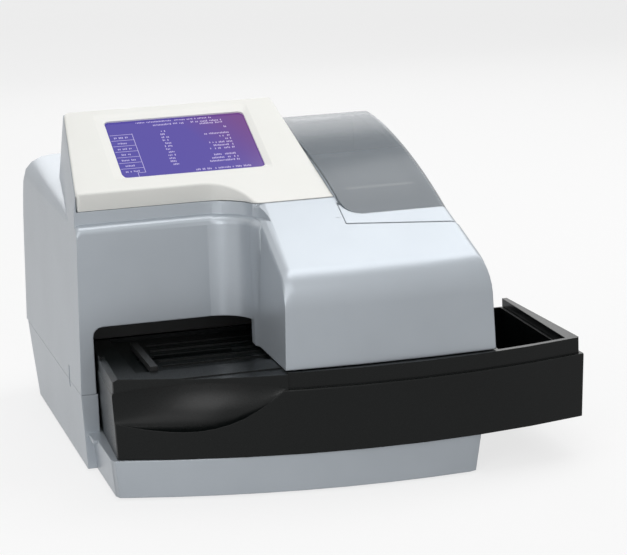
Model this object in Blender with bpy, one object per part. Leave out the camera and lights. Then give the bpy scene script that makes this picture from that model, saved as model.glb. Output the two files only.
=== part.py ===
"""Bench urine analyzer with a touch display, a thermal printer and a strip tray.

Run it with: blender --background --python part.py
Sizes below are millimetres; meshes are made in metres. +X is the operator's right,
-Y the front and +Z up. The origin lies on the floor under the middle of the machine.
"""
import math

import bmesh
import bpy
from mathutils import Matrix, Vector

for old in list(bpy.data.objects):
    bpy.data.objects.remove(old, do_unlink=True)

MM = 0.001
GAP = 0.3              # air left between pieces that touch
RUN = 0.6              # air round a piece that slides or turns

# Housing
FOOT = 2.0             # feet showing below the housing
BODY_L, BODY_R = -198.8, 118.0
BODY_F, BODY_B = -76.9, 210.0
SPLIT_Z = 65.0         # parting line of the two housings
SIDE_DRAFT = 0.029     # both side walls lean in by this share of their height
WALL = 3.0
LEDGE_Z = 205.0        # deck height at the front
RIM_DROP, RIM_DEPTH = 7.0, 8.0              # its round front edge
RIM_STEPS = (0.0, 0.9, 2.5, 5.0, 8.0)
DECK_RISE = 0.055      # deck slope towards the back
SHOULDER_X, SHOULDER_Z = 28.0, 20.0
SHOULDER_FRONT = 0.14  # share of the left shoulder that is left at the front
BACK_ROUND_Y, BACK_ROUND_Z = 14.0, 60.0
BASE_TUCK = 33.0       # the back of the lower housing leans in by this much at the floor
PLINTH_L, PLINTH_R = -189.0, 101.0          # part of the lower housing under the tray
FEET = {"front_left": (-165.0, -140.0), "front_right": (84.0, -165.0),
        "back_left": (-176.0, 150.0), "back_right": (94.0, 150.0)}
FOOT_R, FOOT_SINK = 9.0, 1.5

# Display roof: one plane carries the screen bezel and runs on into the hood
TILT = 0.4644          # rise over run
ROOF_Y, ROOF_Z = -49.1, 239.4
RIDGE_Y = 41.6
ROOF_BACK = 1.0        # slope down behind the ridge
NECK_Y = -68.0
BEZEL_BACK_L, BEZEL_BACK_R = -180.1, 0.65
BEZEL_FLARE = 0.1114   # the bezel widens to the front on both sides
ROOF_FOOT = 4.0        # the roof's left wall leans out by this much down to the deck
BEZEL_FRONT_Y = -97.8
BEZEL_T = 3.5
BEZEL_FOOT_Z = 215.8   # lower edge of the bezel's front skirt
NOOK_X, NOOK_R = -88.0, 38.0
NECK_EDGE = ((-43.6, -134.0), (-43.6, -120.0), (-44.2, -113.0), (-45.6, -106.0), (-48.0, -99.5),
             (-51.2, -94.9))   # the neck's wall runs on below the hood's slope
HIGH_X, HIGH_Z = 117.2, 150.0  # right wall of hood and printer, at the hood's front
RIGHT_FLARE, RIGHT_LEAN = 0.08, 0.04
RIGHT_BOW, BOW_Y = 2.1e-4, -110.0           # behind BOW_Y it bows out again
RIGHT_EDGE = 6.5       # radius along its upper edge

# Hood over the strip path
HOOD_L = -55.0
HOOD_F = -199.0
HOOD_Z = 100.1
HOOD_NOSE = 34.0       # radius between the hood's front and its slope
HOOD_EDGE = 9.0        # radius along its sloping edges
HOOD_DROP = 0.8        # hood surface below the bezel's
HOOD_LEAN = 0.03       # its left wall leans in upwards
HOOD_PROUD = 0.4       # its right wall stands this far outside the printer's side
HOOD_BOW = 0.0005      # bow of its front, per mm
CORNER_X, CORNER_Y, CORNER_R = -88.0, -107.5, 30.6
LEDGE_END = -118.5     # the ledge runs out on the hood's slope

# Strip loading opening
DOOR_L, DOOR_R = -186.0, -57.0
DOOR_TOP = 121.0
DOOR_R_CORNER = 8.0

LINER_R, LINER_B, LINER_T = 4.0, -31.0, 1.5   # black sheet behind it

# Screen
LCD_W, LCD_H = 119.0, 82.0
LCD_L, LCD_Y0 = -147.9, -49.1
GLASS_T = 1.8
SCREEN_RECESS = 1.6

# Strip tray
TRAY_L, TRAY_R = -189.0, 198.8
TRAY_F, TRAY_B = -210.0, -28.6
TRAY_BOTTOM = 32.9
TRAY_LEDGE = 86.0
TRAY_TOP = 99.3
TRAY_RIM = 3.4         # step in to the raised rim
TRAY_BOW = 0.0009      # bow of the front, per mm
TRAY_MID = 41.1
TRAY_WALL = 3.0

TRAY_SLANT = 0.0447    # its ends splay towards the front
TRAY_CORNER = 2.5
TRAY_SKIN = 9.0        # outside of the front wall to the hollow behind it
BAY_L, BAY_WALL = 122.0, 2.0       # left side of the waste bay, wall beside it
BAY_B = -32.0
BLOCK_R = -50.0        # right end of the loading block
POCKET_L, POCKET_F, POCKET_B = -181.0, -140.0, -34.0
POCKET_TOP = 50.0      # hollow below the finger dish
DECK_T = 3.0           # skin over the pocket under the block
FRONT_LINE, FRONT_DROP = -180.5, 0.8        # the block's top steps down in front of this line
STRIP_W, STRIP_DROP, STRIP_Y = 5.0, 3.0, -90.0   # slanted strip along its left edge, up to this depth
DISH_X, DISH_LEFT, DISH_RIGHT = -128.0, 98.0, 72.0   # middle and reach of the finger dish
DISH_TOP, DISH_H, DISH_DEPTH = 95.0, 40.0, 20.0

# Strip platform, pusher and walking beam
PLAT_L, PLAT_R = -166.0, 119.0
PLAT_F, PLAT_B = -151.0, -36.0
PLAT_TOP = 97.2        # top of its rails, a strip's height below the hood's edge
PLAT_T = 4.6
RAIL_H = 1.2
RAIL_Y = (-150.8, -129.0, -112.0, -95.5, -78.0, -60.0)
RAIL_W = 2.2
PUSH_X0 = -151.0       # pusher's middle at rest
PUSH_W = 6.0
PUSH_H = 5.0
PUSH_TRAVEL = 72.0
PUSH_F, PUSH_B = -149.0, -66.0
PUSH_Y = -99.0         # guide rod under the platform
PUSH_ROD_Z, PUSH_ROD_R = 71.0, 2.5
STEM_W = 4.0
BELT_R, BELT_T, BELT_W = 6.0, 1.0, 5.0
PUSH_BELT_Y = -84.0
PUSH_PULLEY_X = (-170.0, -68.0)
MOTOR_R, MOTOR_LEN = 14.0, 26.0
FLAT_MOTOR_LEN = 18.0  # pancake motor beside the reading head
BEAM_STEP = 12.0
BEAM_LIFT = 3.0
BEAM_Y = (-138.0, -103.0)          # the two rails that carry the strips
BEAM_W = 4.0
BEAM_X0, BEAM_X1 = -42.0, 88.0
BEAM_TOP = 95.8
CARRIER_Z0, CARRIER_T = 66.0, 4.0
POST_X = (0.0, 60.0)
POST_Y, POST_R = -126.0, 3.0

# Waste box
BOX_FLOOR, BOX_TOP = 36.5, 92.0
BOX_WALL = 2.0

# Printer: its left side runs along the bezel's right edge, its front straight across
SKEW = BEZEL_FLARE
BAY_X, BAY_Y = 16.4, -97.8
COVER_U0 = 0.9
COVER_Y0, COVER_Y1 = -121.5, 47.0
COVER_Z0, COVER_Z1 = 205.0, 261.3
COVER_ARC = 345.0      # radius of the cover's curve
COVER_T = 2.4
COVER_CORNER = 14.0    # round front-left corner
GRIP_L, GRIP_REVEAL = 16.4, 1.1    # strip in front of the cover: left side, distance from the wall
GRIP_F, GRIP_SLANT = -132.0, -0.103         # front-left corner; its front runs forward to the right
CORNER_REACH = 1.15    # the strip reaches round the cover's corner, in corner radii
GRIP_T, GRIP_PROUD = 2.3, 0.3
GRIP_TAPER = 1.3       # its underside is set back so that it clears the housing when it lifts
COVER_OPEN_ROOM = 0.5  # room below the hinge line for the cover's tail
TAIL_ROOM_F = 1.5      # that room begins this far ahead of the cover's back edge
COVER_REVEAL = 0.9     # housing that shows beside the cover's right edge
EDGE_STEPS = (6.5, 4.3, 2.6, 1.3, 0.5, 0.0)
HINGE_BACK = 0.4       # hinge axis ahead of the cover's back edge
HINGE_UNDER = 3.2      # and below its underside
KNUCKLE_U, KNUCKLE_W, KNUCKLE_R = (12.0, 66.0), 8.0, 3.0
PIN_R, PIN_BORE_R = 1.0, 1.3
TAIL_BACK = 1.35       # the tub's sides are cut down this far behind the hinge line
ROLL_R, ROLL_W = 22.0, 57.0
CORE_R, SPINDLE_R = 7.0, 3.0
ROLL_Y = -80.0
PLATEN_R = 4.5
PLATEN_Y = -35.0
TUB_U0, TUB_U1, TUB_WALL = 5.4, 79.6, 2.0
TUB_Z = 170.0
TUB_F, TUB_B = -108.0, 52.0

# Reading head
ROD_R = 3.0
ROD_Z = 150.0
ROD_X = (18.0, 62.0)
ROD_F, ROD_B = -178.0, -38.0
CHASSIS_Z, CHASSIS_T = 164.0, 1.5
CHASSIS_L, CHASSIS_R = 6.0, 90.0
HANGERS, HANGER_R = ((12.0, -120.0), (84.0, -120.0)), 4.0   # posts it hangs from
HEAD_L, HEAD_R = 11.0, 69.0
HEAD_LEN = 36.0
HEAD_B = -42.0         # back of the head at rest
HEAD_Z0, HEAD_Z1 = 136.0, 160.0
LENS_R = 6.0
HEAD_BELT_X = 78.0
HEAD_PULLEY_Y = (-170.0, -48.0)

# Electronics and rear panel
BOARD_Z, BOARD_T = 14.0, 1.6
BOARD_X0, BOARD_X1 = -170.0, 20.0
BOARD_Y0, BOARD_Y1 = 10.0, 160.0
BOARD_HOLES = ((-164.0, 16.0), (14.0, 16.0), (-164.0, 154.0), (14.0, 154.0))
REAR_L, REAR_R = -150.0, 70.0      # window for the rear panel
REAR_Z0, REAR_Z1 = 80.0, 132.0
PANEL_T = 1.5
PANEL_LIP = 6.0        # rear panel beyond its window
PORT_Z = 106.0
INLET_X, INLET_W, INLET_H = 50.0, 27.0, 20.0
SWITCH_X, SWITCH_W, SWITCH_H = 22.0, 19.0, 13.0
SWITCH_TILT = 12.0     # rocker leans by this much each way
FAN_X, FAN_SIZE, FAN_T = -18.0, 40.0, 10.0
PORT_25_X, PORT_25_W = -72.0, 53.0
PORT_9_X, PORT_9_W = -124.0, 31.0
PORT_H = 12.5
SUPPLY = (36.0, 106.0, 24.0, 150.0, 5.3, 50.0)
SCREWS = {"front_left": (-186.0, -12.0), "front_right": (105.0, -12.0),
          "back_left": (-186.0, 160.0), "back_right": (105.0, 160.0)}
SCREW_R, SCREW_HEAD_R, SCREW_END = 1.8, 3.4, 82.0
BOSS_R = 5.0


def material(name, colour, rough, metal=0.0, alpha=1.0):
    mat = bpy.data.materials.new(name)
    mat.use_nodes = True
    shader = mat.node_tree.nodes["Principled BSDF"]
    shader.inputs["Base Color"].default_value = (*colour, 1.0)
    shader.inputs["Roughness"].default_value = rough
    shader.inputs["Metallic"].default_value = metal
    shader.inputs["Alpha"].default_value = alpha
    mat.diffuse_color = (*colour, alpha)
    return mat


SILVER = ((0.51, 0.55, 0.59), 0.32)
WHITE = ((0.86, 0.86, 0.82), 0.40)
BLACK = ((0.012, 0.014, 0.014), 0.38)
STEEL = ((0.55, 0.56, 0.58), 0.30, 1.0)
ZINC = ((0.50, 0.51, 0.52), 0.40, 1.0)
RUBBER = ((0.02, 0.02, 0.02), 0.75)
BOARD = ((0.02, 0.16, 0.07), 0.45)
GREY = ((0.20, 0.21, 0.22), 0.5)
SMOKE = ((0.30, 0.33, 0.36), 0.18)
CLEAR = ((0.6, 0.65, 0.7), 0.05)


def bm_loft(rings):
    """Closed solid through equal rings of (x, y, z), with flat or fanned end caps."""
    bm = bmesh.new()
    rows = [[bm.verts.new(p) for p in ring] for ring in rings]
    count = len(rings[0])
    for low, high in zip(rows, rows[1:]):
        for i in range(count):
            j = (i + 1) % count
            bm.faces.new((low[i], low[j], high[j], high[i]))
    bm.faces.new(list(reversed(rows[0])))
    bm.faces.new(rows[-1])
    bmesh.ops.recalc_face_normals(bm, faces=bm.faces)
    return bm


def bm_prism(outline, axis, low, high):
    """Extrude a 2-D outline along axis x, y or z from low to high."""
    def place(a, b, c):
        return {"x": (c, a, b), "y": (a, c, b), "z": (a, b, c)}[axis]
    return bm_loft([[place(a, b, c) for a, b in outline] for c in (low, high)])


def bm_box(x0, x1, y0, y1, z0, z1):
    return bm_prism([(x0, y0), (x1, y0), (x1, y1), (x0, y1)], "z", z0, z1)


def bm_rod(start, end, radius, sides=16):
    """Straight round bar between two points."""
    a, b = Vector(start), Vector(end)
    turn = (b - a).to_track_quat("Z", "Y").to_matrix().to_4x4()
    frame = Matrix.Translation((a + b) / 2) @ turn
    bm = bmesh.new()
    bmesh.ops.create_cone(bm, cap_ends=True, segments=sides, radius1=radius, radius2=radius,
                          depth=(b - a).length, matrix=frame)
    return bm


def bm_tube(start, end, outer, inner, sides=20):
    """Round bush: a ring section turned into a closed tube."""
    a, b = Vector(start), Vector(end)
    turn = (b - a).to_track_quat("Z", "Y").to_matrix()
    bm = bmesh.new()
    rings = []
    for centre, radius in ((a, outer), (b, outer), (b, inner), (a, inner)):
        ring = []
        for i in range(sides):
            angle = 2 * math.pi * i / sides
            spoke = turn @ Vector((math.cos(angle), math.sin(angle), 0))
            ring.append(bm.verts.new(centre + spoke * radius))
        rings.append(ring)
    for k in range(4):
        low, high = rings[k], rings[(k + 1) % 4]
        for i in range(sides):
            j = (i + 1) % sides
            bm.faces.new((low[i], low[j], high[j], high[i]))
    bmesh.ops.recalc_face_normals(bm, faces=bm.faces)
    return bm


def arc(cx, cy, rx, ry, start, end, steps):
    """Points on an ellipse arc, angles in degrees."""
    points = []
    for i in range(steps + 1):
        t = math.radians(start + (end - start) * i / steps)
        points.append((cx + rx * math.cos(t), cy + ry * math.sin(t)))
    return points


def join(*parts):
    """Put several bmeshes into one; they stay separate bodies."""
    whole = bmesh.new()
    for bm in parts:
        mesh = bpy.data.meshes.new("tmp")
        bm.to_mesh(mesh)
        bm.free()
        whole.from_mesh(mesh)
        bpy.data.meshes.remove(mesh)
    return whole


def raw_object(bm, name="tool"):
    mesh = bpy.data.meshes.new(name)
    bm.to_mesh(mesh)
    bm.free()
    obj = bpy.data.objects.new(name, mesh)
    bpy.context.collection.objects.link(obj)
    return obj


def boolean(base, tool, how):
    """Union, difference or intersection of two bmeshes, in millimetres."""
    for bm in (base, tool):
        bmesh.ops.triangulate(bm, faces=bm.faces)
    a, b = raw_object(base, "base"), raw_object(tool, "tool")
    mod = a.modifiers.new("cut", "BOOLEAN")
    mod.operation = how
    mod.solver = "EXACT"
    mod.object = b
    graph = bpy.context.evaluated_depsgraph_get()
    result = bmesh.new()
    result.from_object(a, graph)
    for obj in (a, b):
        mesh = obj.data
        bpy.data.objects.remove(obj, do_unlink=True)
        bpy.data.meshes.remove(mesh)
    return result


def fuse(base, *tools):
    for tool in tools:
        base = boolean(base, tool, "UNION")
    return base


def cut(base, *tools):
    for tool in tools:
        base = boolean(base, tool, "DIFFERENCE")
    return base


def keep(base, tool):
    return boolean(base, tool, "INTERSECT")


def turned(bm, angle, axis, centre):
    """Turn a bmesh about an axis through a point, in place."""
    frame = (Matrix.Translation(centre) @ Matrix.Rotation(angle, 4, axis)
             @ Matrix.Translation(-Vector(centre)))
    bmesh.ops.transform(bm, matrix=frame, verts=bm.verts)
    return bm


def node(name, bm, look, origin=(0, 0, 0), alpha=1.0):
    """Make one named piece; origin is the point its own frame sits on."""
    origin = Vector(origin)
    bmesh.ops.translate(bm, verts=bm.verts, vec=-origin)
    bmesh.ops.scale(bm, verts=bm.verts, vec=(MM, MM, MM))
    mesh = bpy.data.meshes.new(name)
    bm.to_mesh(mesh)
    bm.free()
    mesh.shade_smooth()
    mesh.set_sharp_from_angle(angle=math.radians(30))
    obj = bpy.data.objects.new(name, mesh)
    obj.location = origin * MM
    bpy.context.collection.objects.link(obj)
    mesh.materials.append(material(name, *look, alpha=alpha))
    return obj


# Shared surfaces

def roof(y):
    """Height of the display plane at depth y."""
    return ROOF_Z + TILT * (y - ROOF_Y)


RIDGE_Z = roof(RIDGE_Y)


def deck(y):
    return LEDGE_Z + DECK_RISE * (y - BODY_F)


def rim_drop(depth):
    """How far the deck's round front edge lies below the deck, at a depth behind the front."""
    return RIM_DROP * (1.0 - math.sqrt(1.0 - (1.0 - depth / RIM_DEPTH) ** 2))


def side_l(z, inset=0.0):
    return BODY_L + inset + SIDE_DRAFT * (z - SPLIT_Z)


def side_r(z, inset=0.0):
    return BODY_R - inset - SIDE_DRAFT * (z - SPLIT_Z)


def roof_wall_l(y, z):
    """Left wall of the display roof: its foot on the deck stands out by ROOF_FOOT."""
    return bezel_l(y) - ROOF_FOOT * (roof(y) - z) / (roof(y) - deck(y))


def roof_wall_r(y, z):
    """Right wall, beside the printer cover: leans in, and more so above HIGH_Z."""
    flare = RIGHT_FLARE * (y - HOOD_F) - RIGHT_BOW * max(0.0, y - BOW_Y) ** 2
    return HIGH_X - flare - RIGHT_LEAN * (z - HIGH_Z + max(0.0, z - HIGH_Z))


def bezel_l(y):
    return BEZEL_BACK_L - BEZEL_FLARE * (RIDGE_Y - y)


def bezel_r(y):
    return BEZEL_BACK_R + BEZEL_FLARE * (RIDGE_Y - y)


def cover_circle():
    """Centre of the arc through the cover's front and back edges."""
    dy, dz = COVER_Y1 - COVER_Y0, COVER_Z1 - COVER_Z0
    chord = math.hypot(dy, dz)
    rise = math.sqrt(COVER_ARC ** 2 - chord ** 2 / 4)
    mid_y, mid_z = (COVER_Y0 + COVER_Y1) / 2, (COVER_Z0 + COVER_Z1) / 2
    return mid_y + rise * dz / chord, mid_z - rise * dy / chord


ARC_Y, ARC_Z = cover_circle()


def cover_z(y, depth=0.0):
    return ARC_Z + math.sqrt((COVER_ARC - depth) ** 2 - (y - ARC_Y) ** 2)


def nook(inset=0.0, steps=6):
    """Front edge of the bezel in plan, left to right: straight, round nook, straight."""
    r = NOOK_R + inset
    y0 = NECK_Y + inset
    centre = (NOOK_X, NECK_Y - NOOK_R)
    end_x = centre[0] + r * math.cos(math.radians(18))
    points = [(bezel_l(y0) + inset, y0)]
    points += arc(*centre, r, r, 90, 18, steps)
    points.append((end_x + 4.0, BEZEL_FRONT_Y + inset + 1.2))
    points.append((end_x + 10.0, BEZEL_FRONT_Y + inset))
    points.append((bezel_r(BEZEL_FRONT_Y) - inset, BEZEL_FRONT_Y + inset))
    return points


# Housing blocks, each made twice: outside, and inset by the wall for the hollow

def main_block(inset=0.0, floor=SPLIT_Z):
    """Body under the roof: drafted sides, round shoulders, sloping deck."""
    rx, rz = SHOULDER_X - inset, SHOULDER_Z - inset
    front, back = BODY_F + inset, BODY_B - inset
    stations = [(front + step, rim_drop(step), 0.0) for step in RIM_STEPS]
    stations += [(y, 0.0, 0.0) for y in (-10.0, 60.0, 130.0)]
    for k in range(5):
        angle = math.radians(22.5 * k)
        stations.append((back - BACK_ROUND_Y * (1 - math.sin(angle)), 0.0, 1 - math.cos(angle)))
    rings = []
    for y, drop, sink in stations:
        top = deck(y) - inset - drop - sink * BACK_ROUND_Z
        low = top - rz
        # The left shoulder grows from the front to the back
        share = SHOULDER_FRONT + (1.0 - SHOULDER_FRONT) * (y - BODY_F) / (BODY_B - BODY_F)
        lx, lz = max(rx * share, 1.0), max(rz * share, 1.0)
        left = [(side_l(floor, inset), floor), (side_l(top - lz, inset), top - lz)]
        left += arc(side_l(top - lz, inset) + lx, top - lz, lx, lz, 180, 90, 4)[1:]
        right = arc(side_r(low, inset) - rx, low, rx, rz, 90, 0, 4)
        right.append((side_r(floor, inset), floor))
        rings.append([(x, y, z) for x, z in left + right])
    return bm_loft(rings)


def roof_block(inset=0.0):
    """Wedge under the display bezel, with the printer's side left to printer_block."""
    under = BEZEL_T + GAP + inset
    z0 = 185.0 - inset
    back_y = RIDGE_Y + (RIDGE_Z - z0) / ROOF_BACK
    dn = inset * 1.4
    outline = [(NECK_Y + inset, z0), (NECK_Y + inset, roof(NECK_Y + inset) - under),
               (RIDGE_Y - under * 0.4, roof(RIDGE_Y - under * 0.4) - under),
               (RIDGE_Y + 3.0, RIDGE_Z - under + 0.6 - dn * 0.5), (back_y - dn, z0)]
    rings = [[(roof_wall_l(y, z) + inset, y, z) for y, z in outline],
             [(bezel_r(y) + 2.0 + inset, y, z) for y, z in outline]]
    return keep(bm_loft(rings), side_limits(inset))


def side_limits(inset=0.0):
    """Everything between the two drafted side planes of the body."""
    z0, z1 = 60.0, 320.0
    ring = []
    for z in (z0, z1):
        ring.append([(side_l(z, inset), -260.0, z), (side_r(z, inset), -260.0, z),
                     (side_r(z, inset), 260.0, z), (side_l(z, inset), 260.0, z)])
    return bm_loft(ring)


def printer_block(inset=0.0):
    """Body under the printer cover; its top follows the cover's arc, one cover lower."""
    depth = COVER_T + GAP + inset
    z0 = 183.0 - inset
    ys = [COVER_Y0 - 2.0 + inset] + [COVER_Y0 + (COVER_Y1 - COVER_Y0) * k / 8 for k in range(9)]
    outline = [(ys[0], z0), (ys[0], roof(ys[0]) - HOOD_DROP - GAP - inset)]
    outline += [(y, cover_z(y, depth)) for y in ys[1:]]
    back_z = cover_z(COVER_Y1, depth) - 3.0
    outline += [(COVER_Y1 + 7.0, back_z), (COVER_Y1 + 7.0 + back_z - z0 - inset * 1.4, z0)]
    rings = [[(bezel_r(y) + 0.6 + inset, y, z) for y, z in outline],
             [(roof_wall_r(y, z) - inset, y, z) for y, z in outline]]
    shoulder = cover_shell(60.0, 20.0, -60.0, depth + inset * 0.6, ys[0] - 8.0, COVER_Y1 + 14.0, 14)
    return cut(bm_loft(rings), shoulder)


def hood_block(inset=0.0):
    """Hood and bridge: flat front, round nose, then the display plane's slope."""
    r = HOOD_NOSE - inset
    slope = math.atan(TILT)
    drop = HOOD_DROP + inset / math.cos(slope)
    front = HOOD_F + inset
    # Nose centre: r behind the front face and r below the slope
    cy = front + r
    cz = roof(cy) - drop - r / math.cos(slope)
    low = HOOD_Z - (6.0 if inset else 3.0)
    profile = [(front, low)]
    profile += arc(cy, cz, r, r, 180, 90 + math.degrees(slope), 5)
    left_edge, right_edge = HOOD_EDGE - inset * 0.6, RIGHT_EDGE - inset * 0.6
    shape = [(0.0, 1.0), (0.13, 0.5), (0.5, 0.13), (1.0, 0.0)]
    stations = [(0.0, left_edge * across, left_edge * sink) for across, sink in shape]
    stations += [(0.35, 0.0, 0.0), (0.7, 0.0, 0.0)]
    stations += [(1.0, -right_edge * across, right_edge * sink) for across, sink in reversed(shape)]
    back_y = NECK_Y + 14.0 + inset
    loops = []
    for share, shift, sink in stations:
        loop = []
        for y, z in profile + [(back_y, roof(back_y) - drop), (back_y, low)]:
            lowered = max(z - sink * max(0.0, min(1.0, (z - cz) / r)), low)
            left = HOOD_L + inset + HOOD_LEAN * max(0.0, lowered - HOOD_Z)
            right = roof_wall_r(y, lowered) + HOOD_PROUD - inset
            x = left + (right - left) * share + shift
            ahead = (cy - y - r * math.sin(slope)) / (r - r * math.sin(slope))
            bow = HOOD_BOW * (x - TRAY_MID) ** 2 * max(0.0, min(1.0, ahead))
            loop.append((x, y + bow, lowered))
        loops.append(loop)
    # Above the ledge it stands back to the neck's wall
    side = [(x + inset, y) for x, y in NECK_EDGE]
    plan = [(-80.0, side[0][1]), *side, (side[-1][0], -50.0), (-80.0, -50.0)]
    return cut(bm_loft(loops), bm_prism(plan, "z", LEDGE_Z + 0.1 - inset * 1.2, 260.0))


def neck_block(inset=0.0):
    """Wall under the bezel's front skirt; it follows the same S-curve."""
    back = RIDGE_Y - 40.0 - inset
    plan = nook(inset) + [(0.0, back), (bezel_l(0.0) + 6.0 + inset, back)]
    return bm_prism(plan, "z", 184.0 - inset, BEZEL_FOOT_Z - GAP - 1.3 * inset)


def corner_block(inset=0.0):
    """Concave round between the body's front and the hood's left side, with the deck's round rim."""
    low = HOOD_Z - (7.0 if inset else 2.0)
    back, inner = BODY_F + 14.0 + inset, HOOD_L + 14.0 + inset
    rings = []
    for step, z in [(0.0, low)] + [(step, LEDGE_Z - 0.2 - rim_drop(step)) for step in RIM_STEPS]:
        r = CORNER_R + inset + step
        points = arc(CORNER_X, CORNER_Y, r, r, 87, 0, 9)
        points += [(HOOD_L + 2.2 + inset + step, LEDGE_END - inset), (inner, LEDGE_END - inset),
                   (inner, back), (CORNER_X, back)]
        rings.append([(x, y, z - inset * 1.2 if z > low else z) for x, y in points])
    return bm_loft(rings)


def housing_solid(inset=0.0):
    whole = main_block(inset, SPLIT_Z - (4.0 if inset else 0.0))
    return fuse(whole, roof_block(inset), printer_block(inset), hood_block(inset), neck_block(inset),
                corner_block(inset))


def bay_x(y):
    """Left side of the printer's bay at depth y."""
    return BAY_X - (y - BAY_Y) * SKEW


def bay_wall(y, z):
    """Distance from the bay's left side to the right wall."""
    return roof_wall_r(y, z) - bay_x(y)


def bay_point(u, y, z):
    """Point of the printer, u to the right of its left side."""
    return bay_x(y) + u, y, z


def bay_box(u0, u1, y0, y1, z0, z1):
    """Box whose sides run along the printer's left side."""
    plan = [bay_point(u, y, 0.0)[:2] for u, y in ((u0, y0), (u1, y0), (u1, y1), (u0, y1))]
    return bm_prism(plan, "z", z0, z1)


def bay_rod(u0, u1, y, z, radius, sides=20):
    return bm_rod(bay_point(u0, y, z), bay_point(u1, y, z), radius, sides)


def tray_front(x, step=0.0):
    return TRAY_F + step + TRAY_BOW * (x - TRAY_MID) ** 2


def tray_left(y, step=0.0):
    return TRAY_L + step + TRAY_SLANT * (y + 180.0)


def tray_right(y, step=0.0):
    corner = tray_front(TRAY_R)
    return TRAY_R - step - TRAY_SLANT * (y - corner)


def tray_outline(step=0.0, x0=None, x1=None, back=None, bow_steps=8):
    """Plan of the tray inset by step: bowed front, splayed ends; x0 and x1 cut it shorter."""
    back = TRAY_B - step if back is None else back
    r = TRAY_CORNER if x0 is None or x1 is None else 0.0
    left = tray_left(tray_front(TRAY_L), step) if x0 is None else x0
    right = tray_right(tray_front(TRAY_R), step) if x1 is None else x1
    a, b = left + (r if x0 is None else 0.0), right - (r if x1 is None else 0.0)
    front = []
    for k in range(bow_steps + 1):
        x = a + (b - a) * k / bow_steps
        front.append((x, tray_front(x, step)))
    start = [(left, front[0][1] + r)] if x0 is None else []
    if x0 is None:
        start.append((left + 0.3 * r, front[0][1] + 0.3 * r))
    end = [(right - 0.3 * r, front[-1][1] + 0.3 * r), (right, front[-1][1] + r)] if x1 is None else []
    far_r = tray_right(back, step) if x1 is None else x1
    far_l = tray_left(back, step) if x0 is None else x0
    return start + front + end + [(far_r, back), (far_l, back)]


def tray_room(clear=0.5):
    """Space the strip tray takes out of both housings."""
    back = TRAY_B + clear
    outline = [(tray_left(-260.0, -clear), -260.0), (260.0, -260.0), (260.0, back),
               (tray_left(back, -clear), back)]
    return bm_prism(outline, "z", TRAY_BOTTOM - GAP, HOOD_Z)


def finger_dish():
    """Scoop under the front lip of the loading block: arched top, deeper in the middle."""
    rings = []
    for k in range(13):
        x = DISH_X - DISH_LEFT * 0.66 + (DISH_LEFT * 0.66 + DISH_RIGHT) * k / 12
        reach = DISH_LEFT if x < DISH_X else DISH_RIGHT
        share = max(0.004, 1.0 - ((x - DISH_X) / reach) ** 2)
        top = DISH_TOP - 0.0017 * (x + 122.0) ** 2
        height = DISH_H * share
        wall = tray_front(x)
        depth = max(0.3, DISH_DEPTH * (1.0 - ((x - DISH_X) / 66.0) ** 2))
        ring = [(x, wall - 30.0, top), (x, wall + depth, top)]
        ring += [(x, wall + depth * math.cos(t), top - height * math.sin(t))
                 for t in [math.radians(15.0 * i) for i in range(1, 7)]]
        ring.append((x, wall - 30.0, top - height))
        rings.append(ring)
    return bm_loft(rings)


# Nodes

def upper_housing():
    shell = cut(housing_solid(0.0), housing_solid(WALL))
    # Bosses for the base screws, and hangers for the reading head's chassis
    posts = [cover_grip(3.0, -1.5, GRIP_T + 1.5)]
    for x, y in SCREWS.values():
        posts.append(cut(bm_rod((x, y, SPLIT_Z + 0.2), (x, y, SCREW_END + 4.0), BOSS_R, 12),
                         bm_rod((x, y, SPLIT_Z - 1.0), (x, y, SCREW_END), SCREW_R + 0.2, 12)))
        side = -1 if x < 0 else 1
        posts.append(bm_box(min(x + side * 4.0, x + side * 11.0), max(x + side * 4.0, x + side * 11.0),
                            y - 1.5, y + 1.5, SPLIT_Z + 0.4, SCREW_END + 3.0))
    for x, y in HANGERS:
        posts.append(bm_rod((x, y, CHASSIS_Z + CHASSIS_T + GAP), (x, y, roof(y) - HOOD_DROP - WALL / 2),
                            HANGER_R, 12))
    shell = fuse(shell, *posts)
    # Printer bay, open to the inside
    bay = bay_box(TUB_U0 - 0.4, TUB_U1 + 0.4, TUB_F - 0.4, TUB_B + 0.4, TUB_Z - 2.0, 320.0)
    # Window behind the screen
    slope = math.atan(TILT)
    window = bm_box(LCD_L - 5.0, LCD_L + LCD_W + 5.0, -6.0, LCD_H + 6.0, -30.0, 30.0)
    turned(window, slope, "X", (0, 0, 0))
    bmesh.ops.translate(window, verts=window.verts, vec=(0, LCD_Y0, roof(LCD_Y0)))
    door = bm_prism(arc(DOOR_L + DOOR_R_CORNER, DOOR_TOP - DOOR_R_CORNER, DOOR_R_CORNER,
                        DOOR_R_CORNER, 180, 90, 4)
                    + [(DOOR_R, DOOR_TOP), (DOOR_R, 60.0), (DOOR_L, 60.0)], "y", -106.0, -60.0)
    rear = bm_box(REAR_L, REAR_R, BODY_B - 8.0, BODY_B + 5.0, REAR_Z0, REAR_Z1)
    notch = bm_box(BODY_L - 2.0, BODY_L + 1.2, -24.0, -19.0, 62.0, 77.0)
    lid_room = cover_shell(COVER_U0 - GAP, 40.0, -40.0, COVER_T + GAP, COVER_Y0 - GAP, COVER_Y1 + 6.0)
    grip_room = cover_grip(GAP, 20.0, back=COVER_Y0 + CORNER_REACH * COVER_CORNER, spare=20.0)
    tail_room = bay_box(COVER_U0 - GAP, 125.0, COVER_Y1 - TAIL_ROOM_F, COVER_Y1 + 6.0,
                        cover_axis()[1] - COVER_OPEN_ROOM, 320.0)
    shell = cut(shell, bezel_solid(GAP, 30.0), lid_room, tail_room, grip_room, bay, window, tray_room(),
                door, rear, notch)
    return node("upper_housing", shell, SILVER)


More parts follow.
